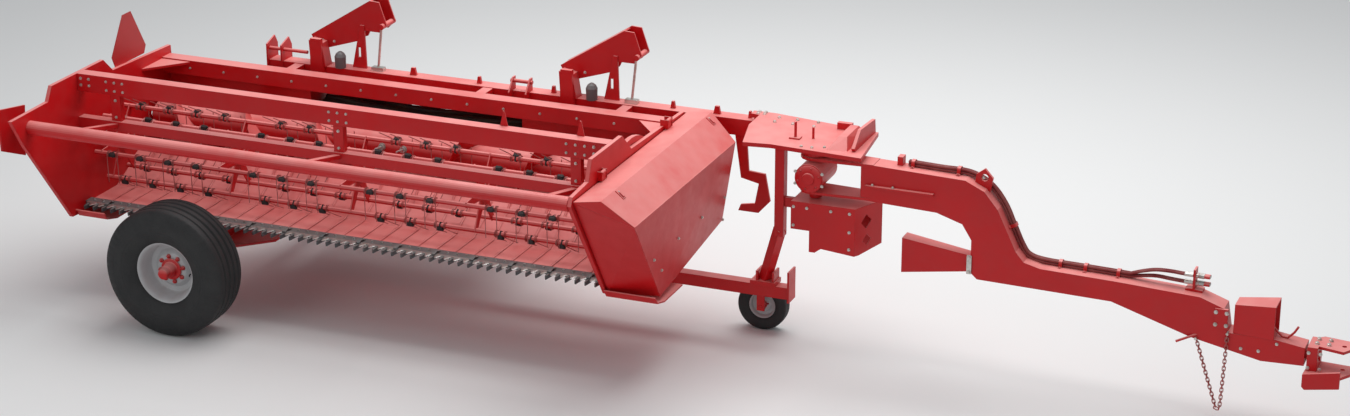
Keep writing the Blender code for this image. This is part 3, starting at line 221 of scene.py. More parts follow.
# %% Make a piece
def piece(name, solid, finish, body, replaced=()):
    """Writes a solid into a mesh: corners and faces go in as whole arrays."""
    points, faces = weld(solid[0] + CORNER, solid[1])
    sizes = (faces >= 0).sum(1)
    mesh = bpy.data.meshes.new(name)
    mesh.vertices.add(len(points))
    mesh.vertices.foreach_set("co", points.astype(np.float32).ravel())
    mesh.loops.add(int(sizes.sum()))
    mesh.loops.foreach_set("vertex_index", faces[faces >= 0].astype(np.int32))
    mesh.polygons.add(len(faces))
    mesh.polygons.foreach_set("loop_start", np.concatenate([[0], np.cumsum(sizes)[:-1]]).astype(np.int32))
    mesh.update(calc_edges=True)
    mesh.validate()
    mesh.polygons.foreach_set("use_smooth", np.ones(len(mesh.polygons), bool))
    mesh.set_sharp_from_angle(angle=np.radians(35))
    mesh.materials.append(FINISH[finish])
    made = bpy.data.objects.new(name, mesh)
    bpy.context.scene.collection.objects.link(made)
    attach(made, body)
    if replaced:
        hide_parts(*replaced)
    print(f"{name}: {int((sizes - 2).sum())} triangles")
    return made


# %% [markdown]
# ## Finishes
# Paint on farm steel is not one colour. Dust lies on what faces up, and the coat is thin or gone on edges. Faces
# that look up are also made paler in broad blotches, which is painted top light. One node group works this out for
# every painted part: it reads where a point is on the object, which way the surface faces, and how much a rounded
# copy of the surface turns away from the flat one, which marks the edges. A second group does the same for rubber,
# and a third for bare or plated steel.

# %% Helpers for node groups
def socket(group, name, side, kind, value=None):
    """Adds one named socket to a node group."""
    made = group.interface.new_socket(name=name, in_out=side, socket_type=kind)
    if value is not None:
        made.default_value = value
    return made


class Nodes:
    """Adds nodes to a tree with their sockets filled in: a number or colour is a value, a socket is linked."""

    def __init__(self, tree):
        self.tree = tree

    def add(self, kind, settings=None, **inputs):
        """One node. An input named i3 is socket number 3, and an underscore in a name stands for a space."""
        node = self.tree.nodes.new("ShaderNode" + kind)
        for key, value in (settings or {}).items():
            setattr(node, key, value)
        for key, value in inputs.items():
            numbered = key[0] == "i" and key[1:].isdigit()
            target = node.inputs[int(key[1:]) if numbered else key.replace("_", " ")]
            if isinstance(value, bpy.types.NodeSocket):
                self.tree.links.new(value, target)
            else:
                target.default_value = value
        return node

    def math(self, operation, a, b=0.0, clamp=False):
        return self.add("Math", {"operation": operation, "use_clamp": clamp}, i0=a, i1=b).outputs[0]

    def noise(self, where, scale, detail=4.0, roughness=0.6):
        return self.add("TexNoise", None, Vector=where, Scale=scale, Detail=detail, Roughness=roughness).outputs[0]

    def ramp(self, value, low, high):
        """Spreads low..high over 0..1."""
        return self.add("MapRange", None, Value=value, i1=low, i2=high).outputs[0]

    def mix(self, part, a, b):
        return self.add("Mix", {"data_type": "RGBA"}, i0=part, i6=a, i7=b).outputs[2]


FLOAT, COLOR, VECTOR = "NodeSocketFloat", "NodeSocketColor", "NodeSocketVector"

# %% Weathered paint
coat_wear_and_top_light = bpy.data.node_groups.new("worn_coat_and_painted_top_light", "ShaderNodeTree")
# Two of these inputs, the paler colour for faces that look up and how much of it, are painted top light.
for name, kind, value in (("Paint", COLOR, (0.5, 0.01, 0.01, 1)), ("Painted top light colour", COLOR, (0.8, 0.3, 0.3, 1)),
                          ("Dust colour", COLOR, (0.45, 0.38, 0.3, 1)), ("Bare", COLOR, (0.2, 0.1, 0.08, 1)),
                          ("Painted top light amount", FLOAT, 0.5), ("Dust", FLOAT, 0.3), ("Edge wear", FLOAT, 0.5),
                          ("Gloss roughness", FLOAT, 0.35), ("Rounding", FLOAT, 0.006)):
    socket(coat_wear_and_top_light, name, "INPUT", kind, value)
for name, kind in (("Colour", COLOR), ("Roughness", FLOAT), ("Bare metal", FLOAT), ("Height", FLOAT),
                   ("Normal", VECTOR)):
    socket(coat_wear_and_top_light, name, "OUTPUT", kind)
n = Nodes(coat_wear_and_top_light)
given, result = coat_wear_and_top_light.nodes.new("NodeGroupInput"), coat_wear_and_top_light.nodes.new("NodeGroupOutput")
where = n.add("TexCoord").outputs["Object"]
flat = n.add("NewGeometry").outputs["Normal"]
rounded = n.add("Bevel", {"samples": 4}, Radius=given.outputs["Rounding"]).outputs[0]
turn = n.add("VectorMath", {"operation": "DOT_PRODUCT"}, i0=rounded, i1=flat).outputs["Value"]
edge = n.ramp(turn, 0.985, 0.80)
broad, middling, fine = n.noise(where, 1.3), n.noise(where, 9.0), n.noise(where, 60.0)
chipped = n.math("MULTIPLY", n.math("MULTIPLY", edge, n.ramp(middling, 0.45, 0.6), True),
                 given.outputs["Edge wear"], True)
specks = n.math("MULTIPLY", n.ramp(fine, 0.70, 0.76), n.math("MULTIPLY", given.outputs["Edge wear"], 0.35))
bare = n.math("MAXIMUM", chipped, specks, True)
height = n.add("SeparateXYZ", None, Vector=flat).outputs["Z"]
# Faces that look up are mixed towards the paler colour, in broad blotches: this is painted top light.
sky = n.ramp(height, 0.05, 0.95)
blotch = n.ramp(n.math("ADD", broad, n.math("MULTIPLY", middling, 0.4)), 0.45, 0.95)
painted_top_light = n.math("MULTIPLY", n.math("MULTIPLY", sky, n.ramp(blotch, -0.9, 0.7), True), given.outputs["Painted top light amount"], True)
dusty = n.math("MULTIPLY", n.math("MULTIPLY", n.ramp(height, -0.3, 0.9), n.ramp(middling, 0.38, 0.72), True),
               given.outputs["Dust"], True)
shade = n.mix(n.math("MULTIPLY", n.ramp(blotch, 0.1, 0.9), 0.16), given.outputs["Paint"], (0.09, 0.0, 0.003, 1))
colour = n.mix(painted_top_light, shade, given.outputs["Painted top light colour"])
colour = n.mix(dusty, colour, given.outputs["Dust colour"])
colour = n.mix(bare, colour, given.outputs["Bare"])
rough = n.math("ADD", n.math("ADD", given.outputs["Gloss roughness"], n.math("MULTIPLY", dusty, 0.35)),
               n.math("MULTIPLY", n.math("SUBTRACT", middling, 0.5), 0.25), True)
peel = n.math("ADD", n.math("MULTIPLY", n.noise(where, 220.0, 2.0), 0.25), n.math("MULTIPLY", middling, 0.6))
tree_link = coat_wear_and_top_light.links.new
tree_link(colour, result.inputs["Colour"])
tree_link(n.math("ADD", rough, n.math("MULTIPLY", bare, 0.25), True), result.inputs["Roughness"])
tree_link(n.math("MULTIPLY", bare, 0.6), result.inputs["Bare metal"])
tree_link(n.math("SUBTRACT", peel, n.math("MULTIPLY", bare, 0.5)), result.inputs["Height"])
tree_link(rounded, result.inputs["Normal"])
print("worn_coat_and_painted_top_light has", len(coat_wear_and_top_light.nodes), "nodes")

# %% Rubber skin
rubber = bpy.data.node_groups.new("rubber_skin", "ShaderNodeTree")
for name, kind, value in (("Rubber", COLOR, (0.02, 0.02, 0.02, 1)), ("Dust colour", COLOR, (0.2, 0.18, 0.15, 1)),
                          ("Dust", FLOAT, 0.3), ("Grain", FLOAT, 120.0)):
    socket(rubber, name, "INPUT", kind, value)
for name, kind in (("Colour", COLOR), ("Roughness", FLOAT), ("Height", FLOAT)):
    socket(rubber, name, "OUTPUT", kind)
n = Nodes(rubber)
given, result = rubber.nodes.new("NodeGroupInput"), rubber.nodes.new("NodeGroupOutput")
where = n.add("TexCoord").outputs["Object"]
middling, fine = n.noise(where, 7.0), n.noise(where, given.outputs["Grain"], 3.0)
dusty = n.math("MULTIPLY", n.ramp(middling, 0.35, 0.75), given.outputs["Dust"], True)
rubber.links.new(n.mix(dusty, given.outputs["Rubber"], given.outputs["Dust colour"]), result.inputs["Colour"])
rubber.links.new(n.math("ADD", 0.5, n.math("MULTIPLY", fine, 0.3), True), result.inputs["Roughness"])
rubber.links.new(fine, result.inputs["Height"])

# %% Steel grain
steel = bpy.data.node_groups.new("steel_grain", "ShaderNodeTree")
for name, kind, value in (("Steel", COLOR, (0.5, 0.5, 0.5, 1)), ("Stain", COLOR, (0.2, 0.12, 0.08, 1)),
                          ("Staining", FLOAT, 0.3)):
    socket(steel, name, "INPUT", kind, value)
for name, kind in (("Colour", COLOR), ("Roughness", FLOAT), ("Height", FLOAT)):
    socket(steel, name, "OUTPUT", kind)
n = Nodes(steel)
given, result = steel.nodes.new("NodeGroupInput"), steel.nodes.new("NodeGroupOutput")
where = n.add("TexCoord").outputs["Object"]
middling, fine = n.noise(where, 14.0), n.noise(where, 180.0, 3.0)
stained = n.math("MULTIPLY", n.ramp(middling, 0.45, 0.7), given.outputs["Staining"], True)
steel.links.new(n.mix(stained, given.outputs["Steel"], given.outputs["Stain"]), result.inputs["Colour"])
steel.links.new(n.math("ADD", n.math("MULTIPLY", fine, 0.35),
                       n.math("ADD", 0.2, n.math("MULTIPLY", stained, 0.4)), True),
                result.inputs["Roughness"])
steel.links.new(fine, result.inputs["Height"])
print("rubber_skin and steel_grain are ready")

# %% Materials
def material(name, group, values, bump=0.0006, fixed=None):
    """A Principled surface fed by one of the groups, with the constants in `fixed` set on its own sockets."""
    made = bpy.data.materials.new(name)
    made.use_nodes = True
    tree = made.node_tree
    shader = next(node for node in tree.nodes if node.type == "BSDF_PRINCIPLED")
    source = tree.nodes.new("ShaderNodeGroup")
    source.node_tree = group
    for key, value in values.items():
        source.inputs[key].default_value = value
    tree.links.new(source.outputs["Colour"], shader.inputs["Base Color"])
    tree.links.new(source.outputs["Roughness"], shader.inputs["Roughness"])
    if "Bare metal" in source.outputs:
        tree.links.new(source.outputs["Bare metal"], shader.inputs["Metallic"])
    grain = tree.nodes.new("ShaderNodeBump")
    grain.inputs["Strength"].default_value = 0.35
    grain.inputs["Distance"].default_value = bump
    tree.links.new(source.outputs["Height"], grain.inputs["Height"])
    if "Normal" in source.outputs:
        tree.links.new(source.outputs["Normal"], grain.inputs["Normal"])
    tree.links.new(grain.outputs["Normal"], shader.inputs["Normal"])
    for key, value in (fixed or {}).items():
        shader.inputs[key].default_value = value
    return made


DUST = (0.30, 0.25, 0.20, 1)
# Each painted finish sets a paler colour for faces that look up, and how much of it: painted top light.
FINISH = {
    "red": material("red_paint", coat_wear_and_top_light, {
        "Paint": (0.60, 0.004, 0.007, 1), "Painted top light colour": (0.92, 0.31, 0.29, 1), "Dust colour": (0.52, 0.24, 0.21, 1),
        "Bare": (0.16, 0.06, 0.05, 1), "Painted top light amount": 1.0, "Dust": 0.14, "Edge wear": 0.45, "Gloss roughness": 0.42},
        fixed={"Coat Weight": 0.08, "Coat Roughness": 0.25, "Specular IOR Level": 0.35}),
    "bar": material("cutterbar_steel", coat_wear_and_top_light, {
        "Paint": (0.065, 0.075, 0.08, 1), "Painted top light colour": (0.20, 0.21, 0.21, 1), "Dust colour": DUST,
        "Bare": (0.45, 0.44, 0.42, 1), "Painted top light amount": 0.8, "Dust": 0.35, "Edge wear": 0.9, "Gloss roughness": 0.42,
        "Rounding": 0.003}),
    "rim": material("wheel_paint", coat_wear_and_top_light, {
        "Paint": (0.50, 0.51, 0.52, 1), "Painted top light colour": (0.66, 0.66, 0.66, 1), "Dust colour": DUST,
        "Bare": (0.22, 0.17, 0.14, 1), "Painted top light amount": 0.4, "Dust": 0.25, "Edge wear": 0.35, "Gloss roughness": 0.38}),
    "grey": material("cylinder_paint", coat_wear_and_top_light, {
        "Paint": (0.13, 0.135, 0.14, 1), "Painted top light colour": (0.28, 0.28, 0.28, 1), "Dust colour": DUST,
        "Bare": (0.5, 0.48, 0.45, 1), "Painted top light amount": 0.5, "Dust": 0.3, "Edge wear": 0.5, "Gloss roughness": 0.4}),
    "marker": material("marker_back", coat_wear_and_top_light, {
        "Paint": (0.50, 0.012, 0.014, 1), "Painted top light colour": (0.78, 0.20, 0.18, 1), "Dust colour": (0.5, 0.3, 0.26, 1),
        "Bare": (0.5, 0.48, 0.46, 1), "Painted top light amount": 0.5, "Dust": 0.2, "Edge wear": 0.4, "Gloss roughness": 0.38}),
    "tyre": material("tyre_rubber", rubber, {
        "Rubber": (0.012, 0.012, 0.013, 1), "Dust colour": (0.060, 0.058, 0.055, 1), "Dust": 0.22}, bump=0.001),
    "roll": material("roll_rubber", rubber, {
        "Rubber": (0.02, 0.02, 0.021, 1), "Dust colour": (0.13, 0.15, 0.07, 1), "Dust": 0.35}, bump=0.001),
    "hose": material("hose_cover", rubber, {
        "Rubber": (0.20, 0.010, 0.012, 1), "Dust colour": (0.42, 0.16, 0.14, 1), "Dust": 0.6, "Grain": 400.0}),
    "zinc": material("zinc_plate", steel, {
        "Steel": (0.66, 0.64, 0.60, 1), "Stain": (0.30, 0.21, 0.15, 1), "Staining": 0.5}, fixed={"Metallic": 0.9}),
    "tine": material("spring_steel", steel, {
        "Steel": (0.42, 0.14, 0.13, 1), "Stain": (0.5, 0.04, 0.04, 1), "Staining": 0.8}, fixed={"Metallic": 0.35}),
    "worn": material("polished_steel", steel, {
        "Steel": (0.50, 0.50, 0.48, 1), "Stain": (0.25, 0.17, 0.12, 1), "Staining": 0.6}, fixed={"Metallic": 0.85}),
    "black": material("black_fittings", rubber, {
        "Rubber": (0.012, 0.010, 0.010, 1), "Dust colour": (0.10, 0.05, 0.05, 1), "Dust": 0.3}),
}
SLOT = {"red": "red_paint", "bar": "dark_steel", "rim": "rim_paint", "grey": "grey_paint", "marker": "marker_paint",
        "tyre": "tyre", "roll": "roll_rubber", "hose": "hose", "zinc": "zinc", "tine": "zinc", "worn": "zinc",
        "black": "dark_steel"}
OF_SLOT = {slot: finish for finish, slot in reversed(SLOT.items())}
for part in frame["record"]["subparts"]:
    finish = FINISH[OF_SLOT[part["material_slot"]]]
    for place in frame["nodes"][part["node"]].material_slots:
        place.material = finish
print("finishes:", ", ".join(FINISH))

# %% [markdown]
# ## Wheels
# The two large wheels carry ribbed implement tyres: a few deep grooves run right round, short bars stand on the
# shoulders and thin rings are moulded into the sidewalls. All of that is one function of two parameters, the angle
# and the way across the tyre. The rims are rolled channels with a dished disc, and a red hub with a long cap and
# eight nuts is bolted into each disc.

# %% Tyres and rims
def tyre(centre, outwards, radius, width, seat, grooves, bars, sides):
    """Radius over the tyre = smooth section - groove depth where the tread is grooved - bar depth where a square
    wave of the angle is low on the shoulder. The section goes over the tread and back along the rim."""
    half, reach = width / 2, radius - seat
    knots = [(-half * 0.62, 0.0), (-half * 0.80, 0.11), (-half * 0.97, 0.36), (-half, 0.52), (-half * 0.96, 0.76),
             (-half * 0.80, 0.955), (-half * 0.4, 0.992), (0.0, 1.0)]
    section = curve(knots + [(-a, r) for a, r in knots[-2::-1]], 8)
    across, out = section[:, 0], seat + section[:, 1] * reach
    tread = np.abs(across) < half * 0.74
    cut = tread & (np.abs(across[:, None] - np.asarray(grooves)[None] * half).min(1) < half * 0.045)
    out = out - cut * reach * 0.045
    rings = (np.abs(section[:, 1] - 0.42) < 0.02) | (np.abs(section[:, 1] - 0.66) < 0.015)
    across = across * (1 - rings * 0.012)
    angle = np.arange(sides) * TAU / sides
    shoulder = (section[:, 1] > 0.70) & (section[:, 1] < 0.955)
    low = (np.mod(angle * bars / TAU, 1.0) > 0.55)[:, None] & shoulder[None]
    out = out[None] - low * reach * 0.028
    back = np.array([(half * 0.5, seat), (-half * 0.5, seat)])
    out = np.hstack([out, np.broadcast_to(back[:, 1], (sides, 2))])
    across = np.append(across, back[:, 0])
    spoke = np.stack([np.cos(angle), 0 * angle, np.sin(angle)], -1)
    rings = np.asarray(centre) + out[..., None] * spoke[:, None] + across[None, :, None] * outwards * Y
    return loft(rings, around=True)


RIM = [(.244, -.124), (.244, -.116), (.224, -.110), (.2215, -.09), (.205, -.055), (.205, .055), (.2215, .09),
       (.224, .110), (.244, .116), (.246, .122), (.240, .128), (.232, .126), (.214, .108), (.208, .088), (.197, .055),
       (.194, .012), (.186, .000), (.150, -.010), (.132, .004), (.122, .020), (.112, .026), (.058, .026), (.058, .016),
       (.110, .016), (.118, .010), (.130, -.010), (.150, -.020), (.192, -.014), (.197, -.055), (.208, -.088),
       (.214, -.108), (.234, -.128)]
HUB = [(0, -.10), (.052, -.10), (.056, -.09), (.056, .026), (.080, .028), (.082, .031), (.082, .038), (.079, .041),
       (.060, .044), (.053, .052), (.050, .100), (.047, .108), (.042, .112), (.041, .150), (.038, .158), (.030, .163),
       (0, .165)]
HEX = circle(6, 0.577)


def nut(size):
    """A hexagon nut across flats `size` on a washer, with the end of its bolt, standing on z = 0."""
    levels = ((0.10, 0.93), (0.14, 1.0), (0.50, 1.0), (0.56, 0.84))
    head = loft([np.column_stack([HEX * wide, np.full(6, z)]) for z, wide in levels])
    washer = turned([(0, 0), (0.66, 0), (0.66, 0.08), (0.62, 0.11), (0, 0.11)], 0 * Z, Z, 12)
    end = turned([(0, 0.5), (0.27, 0.5), (0.27, 0.68), (0.22, 0.73), (0, 0.73)], 0 * Z, Z, 8)
    points, faces = join(washer, head, end)
    return points * size, faces


def nuts(places, directions, size):
    """Nuts at the places, each standing on its surface along its direction."""
    return copies(nut(size), facing(np.broadcast_to(directions, (len(places), 3))), places)


for name, body, y, outwards in (("front", "front_wheel", FRONT_WHEEL_Y, -1.0),
                                ("rear", "rear_wheel", REAR_WHEEL_Y, 1.0)):
    centre, axis = np.array([WHEEL_X, y, TYRE_RADIUS]), outwards * Y
    piece(f"{name}_ribbed_tyre", tyre(centre, outwards, TYRE_RADIUS, 0.36, 0.222, (-0.5, -0.17, 0.17, 0.5), 54, 216),
          "tyre", body, [f"{name}_wheel_tyre"])
    piece(f"{name}_dished_rim", turned(RIM, centre, axis, 96), "rim", body, [f"{name}_wheel_rim"])
    angles = np.arange(8) * TAU / 8 + 0.2
    ring = centre + 0.098 * np.stack([np.cos(angles), 0 * angles, np.sin(angles)], -1) + axis * 0.026
    piece(f"{name}_hub", join(turned(HUB, centre, axis, 48), nuts(ring, axis, 0.027)), "red", body)
    stem = curve([centre + [0.19, 0, 0] + axis * 0.05, centre + [0.185, 0, 0] + axis * 0.085,
                  centre + [0.20, 0, 0] + axis * 0.115], 6)
    piece(f"{name}_valve_stem", sweep(stem, circle(8, 0.005), Z), "black", body)

centre = np.array([5.03, 1.20, 0.19])
piece("stand_ribbed_tyre", tyre(centre, -1.0, 0.19, 0.11, 0.10, (-0.3, 0.3), 30, 120), "tyre", "stand_wheel",
      ["stand_wheel_tyre"])
small = [(r * 0.10 / 0.222, a * 0.30) for r, a in RIM]
piece("stand_pressed_rim", turned([(max(r, 0.0135), a) for r, a in small], centre, -Y, 64), "rim", "stand_wheel",
      ["stand_wheel_rim"])
piece("stand_wheel_bush", join(turned([(.0135, -.04), (.030, -.04), (.030, .04), (.0135, .04)], centre, -Y, 32),
                               nuts(centre + 0.036 * np.stack([np.cos(angles[::2]), 0 * angles[::2],
                                                               np.sin(angles[::2])], -1)
                                    + [0, -0.008, 0], -Y, 0.012)), "red", "stand_wheel")

# %% [markdown]
# ## Reel tines
# Each of the six bats carries double spring tines. One wire makes a pair: it comes up from one tip, winds twice
# round the bat, bridges to the second coil and runs out to the other tip. The tines leave the bats at right angles
# to the spoke, so they point down in front and up behind. A folded clamp with one bolt holds each pair.

# %% Double tines
BATS = np.radians(180.0 + 60.0 * np.arange(6))
REEL = np.array([0.36, 1.09])


def half_tine(side):
    """A coil of two turns and a straight leg in the x, u, w frame of a bat, where u is away from the reel's shaft
    and w is along the tine: (x + rise * turns, r cos, r sin), then the leg along w, bent a little towards u."""
    turn = np.linspace(-2.0, 0.0, 19)
    coil = np.stack([0.045 * side + 0.010 * side * turn, 0.0235 * np.cos(turn * TAU), 0.0235 * np.sin(turn * TAU)], -1)
    reach = np.linspace(0.02, 0.222, 6)
    leg = np.stack([0.045 * side + 0 * reach, 0.0235 - 0.10 * reach**2, reach], -1)
    bridge = np.array([[0.0, 0.032, 0.0], [0.012 * side, 0.032, 0.0]])
    return sweep(np.vstack([bridge, coil, leg]), circle(5, 0.0034), np.array([1.0, 0.4, 0.3]) / np.sqrt(1.25))


def on_bats(solid, along):
    """Copies a solid from the x, u, w frame onto every bat at each place along it: u = (cos, sin) of the bat's
    angle in y and z, w = (-sin, cos)."""
    u = np.stack([0 * BATS, np.cos(BATS), np.sin(BATS)], -1)
    w = np.stack([0 * BATS, -np.sin(BATS), np.cos(BATS)], -1)
    turns = np.stack([np.broadcast_to(X, (6, 3)), u, w], -1)
    middle = np.array([0, REEL[0], REEL[1]]) + 0.28 * u
    places = middle[:, None] + np.asarray(along)[None, :, None] * X
    return copies(solid, np.repeat(turns, len(along), 0), places.reshape(-1, 3))


PAIRS = 0.22 + 0.242 * np.arange(17)
PAIRS = PAIRS[np.abs(PAIRS[:, None] - np.array([1.135, 2.15, 3.165])).min(1) > 0.06]
piece("reel_tines", on_bats(join(half_tine(1.0), half_tine(-1.0)), PAIRS), "tine", "reel")
clamp = join(plate([(0.016, -0.020), (0.042, -0.010), (0.042, 0.010), (0.016, 0.020)], -0.022, 0.022, 0, 0.002),
             copies(nut(0.017), facing([X]), [[0.020, 0.031, 0.0]]),
             plate([(-0.022, -0.016), (0.020, -0.022), (0.020, 0.022), (-0.022, 0.016)], -0.006, 0.006, 0, 0.001))
piece("tine_clamps", on_bats(clamp, PAIRS), "black", "reel")

# %% [markdown]
# ## Knife
# The sickle knife is a row of three-cornered sections riveted to a bar. Each section has two bevelled edges, its
# point reaches between two guards. Every fourth guard has a hold-down clip, and each guard a bolt behind it.

# %% Knife sections, clips and guard tips
FIRST_GUARD, GUARD_PITCH, GUARD_COUNT = 0.0545, 0.0762, 56
GUARDS = FIRST_GUARD + GUARD_PITCH * np.arange(GUARD_COUNT)
section_shape = loft([
    np.array([(-.037, -.028, 0), (.037, -.028, 0), (.006, -.098, 0), (-.006, -.098, 0)]),
    np.array([(-.037, -.028, .001), (.037, -.028, .001), (.006, -.098, .001), (-.006, -.098, .001)]),
    np.array([(-.027, -.028, .004), (.027, -.028, .004), (.003, -.090, .004), (-.003, -.090, .004)])])
at_guards = np.stack([GUARDS + GUARD_PITCH / 2, 0 * GUARDS, 0 * GUARDS + 0.7205], -1)[:-1]
rivet = turned([(0, 0), (.006, 0), (.004, .003), (0, .004)], 0 * Z, Z, 8)
rivets = np.concatenate([at_guards + [dx, -0.034, 0.004] for dx in (-0.016, 0.016)])
knife_bar = block((0.03, 4.27), (-0.046, -0.022), (0.7200, 0.7255), 0.001)
piece("knife", join(copies(section_shape, np.eye(3), at_guards), copies(rivet, np.eye(3), rivets), knife_bar),
      "worn", "header")
CLIPS = GUARDS[2::4]
clip_side = curve([(0.045, 0.722), (0.020, 0.726), (-0.005, 0.738), (-0.030, 0.735), (-0.055, 0.729)], 4)
clip_path = np.stack([0 * clip_side[:, 0], clip_side[:, 0], clip_side[:, 1]], -1)
flat = np.array([(-0.016, -0.003), (0.016, -0.003), (0.016, 0.003), (-0.016, 0.003)])
one_clip = sweep(clip_path, flat, X)
spots = np.stack([CLIPS, 0 * CLIPS, 0 * CLIPS], -1)
piece("knife_clips", copies(one_clip, np.eye(3), spots), "bar", "header")
bolt_spots = np.stack([GUARDS, 0 * GUARDS + 0.030, 0 * GUARDS + 0.720], -1)
piece("guard_bolts", nuts(bolt_spots, Z, 0.017), "worn", "header")
# Guard tips: rings shrink and rise a little towards a blunt point, length 90 mm.
s = np.linspace(0, 1, 6)[:, None, None]
ring = circle(8)[None]
tip = np.concatenate([ring[..., :1] * (0.013 - 0.009 * s), 0 * s + ring[..., :1] * 0 - 0.035 - 0.080 * s,
                      0.704 + 0.008 * s**2 + ring[..., 1:] * (0.012 - 0.008 * s)], -1)
piece("guard_points", copies(loft(tip), np.eye(3), np.stack([GUARDS, 0 * GUARDS, 0 * GUARDS], -1)), "bar", "header")

# %% [markdown]
# ## Auger and rolls
# The auger is a tube with a left-hand and a right-hand flight that carry the crop to the middle, where short
# fingers push it through the wall. Each flight is a ribbon wound round the tube. The two rolls are steel tubes
# covered in rubber with slanting lugs that mesh; a lug's height is a smooth step of a slanting wave.

# %% Auger
AUGER = np.array([0.0, 1.00, 1.11])


def flight(start, end, turns, phase):
    """A ribbon from the tube to the rim, 7 mm thick at the root and 5 mm at the rim: at angle 2 pi turns t, the
    section is (x, radius) = (x0 + (x1 - x0) t, 0.095..0.25)."""
    t = np.linspace(0, 1, int(abs(turns) * 60) + 1)
    angle = phase + TAU * turns * t
    corners = np.array([(-.0035, .095), (-.0035, .17), (-.0025, .248), (-.001, .250), (.001, .250), (.0025, .248),
                        (.0035, .17), (.0035, .095)])
    x = (start + (end - start) * t)[:, None] + corners[None, :, 0]
    rings = np.stack([x, corners[None, :, 1] * np.cos(angle)[:, None],
                      corners[None, :, 1] * np.sin(angle)[:, None]], -1)
    return loft(AUGER + rings)


tube = turned([(0, .05), (.094, .05), (.100, .056), (.100, 4.244), (.094, 4.25), (0, 4.25)], AUGER, X, 64)
shaft = rod(AUGER + 0.003 * X, AUGER + 4.297 * X, 0.0295, 24)
piece("auger_and_flights", join(tube, shaft, flight(0.10, 1.93, 3.0, 0.06), flight(4.20, 2.37, 3.0, 0.06)), "red",
      "auger", ["auger"])
spread = np.arange(6)
angles = spread * TAU / 3 + 0.9
ends = np.stack([0 * angles, np.cos(angles), np.sin(angles)], -1)
base = AUGER + np.stack([2.0 + 0.06 * spread, 0 * angles, 0 * angles], -1)
fingers = [rod(b + 0.09 * e, b + 0.215 * e, 0.008, 10) for b, e in zip(base, ends)]
seats = nuts(base + 0.099 * ends, ends, 0.045)
piece("auger_fingers", join(*fingers, seats), "worn", "auger")


# %% Conditioning rolls
def roll(centre, hand):
    """Radius = 0.101 + 0.014 s, where s is a smooth step of sin(8 angle + hand * 9 |x - middle|)."""
    angle = np.arange(160) * TAU / 160
    x = np.linspace(1.268, 3.032, 121)
    wave = np.sin(8 * angle[:, None] + hand * 9.0 * np.abs(x - 2.15)[None])
    out = 0.100 + 0.0145 / (1 + np.exp(-9 * (wave - 0.15)))
    out = np.hstack([np.zeros((160, 1)), np.full((160, 2), 0.060), out, np.full((160, 2), 0.060), np.zeros((160, 1))])
    along = np.concatenate([[1.262, 1.262, 1.268], x, [3.032, 3.038, 3.038]])
    rings = np.stack([np.broadcast_to(along, out.shape), out * np.cos(angle)[:, None],
                      out * np.sin(angle)[:, None]], -1)
    return loft(np.array([0.0, *centre]) + rings, around=True)


for name, centre, hand in (("upper", (1.50, 1.15), 1.0), ("lower", (1.54, 0.905), -1.0)):
    middle = np.array([0.0, *centre])
    axle = rod(middle + 1.2105 * X, middle + 3.0895 * X, 0.0243, 20)
    piece(f"{name}_roll_rubber", join(roll(centre, hand), axle), "roll", f"{name}_roll", [f"{name}_roll"])

# %% [markdown]
# ## Chain
# The safety chain is a row of short welded links. Every second link is turned a quarter round, so each one hangs in
# the next. A link is a round wire carried round two half circles joined by straights.

# %% Chain links
def link(wire, long, wide):
    """A wire along a stadium: half circles of radius `wide` round (+-(long - wide), 0), joined by straights."""
    half = np.linspace(-np.pi / 2, np.pi / 2, 9)
    right = np.stack([long - wide + wide * np.cos(half), wide * np.sin(half), 0 * half], -1)
    return sweep(np.vstack([right, -right]), circle(6, wire), Z, around=True)


hung = curve([(8.295, .8697, .560), (8.372, .8697, .330), (8.450, .8697, .100), (8.463, .8697, .068),
              (8.478, .8697, .068), (8.488, .8697, .105), (8.497, .8697, .350), (8.505, .8697, .622)], 30)
steps = np.linalg.norm(np.diff(hung, axis=0), axis=1)
run = np.concatenate([[0], np.cumsum(steps)])
count = int(run[-1] / 0.0265)
middles = (np.arange(count) + 0.5) * run[-1] / count
spots = np.stack([np.interp(middles, run, hung[:, k]) for k in range(3)], -1)
ahead = np.stack([np.interp(middles + 0.01, run, hung[:, k]) for k in range(3)], -1) - spots
ahead[-1] = ahead[-2]
ahead /= np.linalg.norm(ahead, axis=1, keepdims=True)
side = np.cross(Y[None], ahead)
side /= np.linalg.norm(side, axis=1, keepdims=True)
odd = (np.arange(count) % 2 == 1)[:, None]
second = np.where(odd, side, Y[None])
turns = np.stack([ahead, second, np.cross(ahead, second)], -1)
piece("chain_links", copies(link(0.0038, 0.0185, 0.0105), turns, spots), "tine", "tongue", ["safety_chain"])
shackles = [rod((8.292, 0.855, .560), (8.292, 0.855 + 0.03, .560), 0.010, 12),
            rod((8.505, 0.855, .628), (8.505, 0.895, .628), 0.010, 12)]
piece("chain_pins", join(*shackles), "zinc", "tongue")

# %% [markdown]
# ## Bolts
# Most of the machine is bolted together, and the heads are what give its plates their size. They stand wherever two
# parts meet: on the beam above each post, along the flange of the shield, round the hub flanges of the driveline
# guards, on the plates of the swivel and of the tongue's joint. One call for each face gives the places and the
# direction that the heads look in.

# %% Bolts on the header
def grid(xs, ys, zs):
    """Every combination of the given x, y and z values, as rows."""
    return np.stack(np.meshgrid(xs, ys, zs, indexing="ij"), -1).reshape(-1, 3)


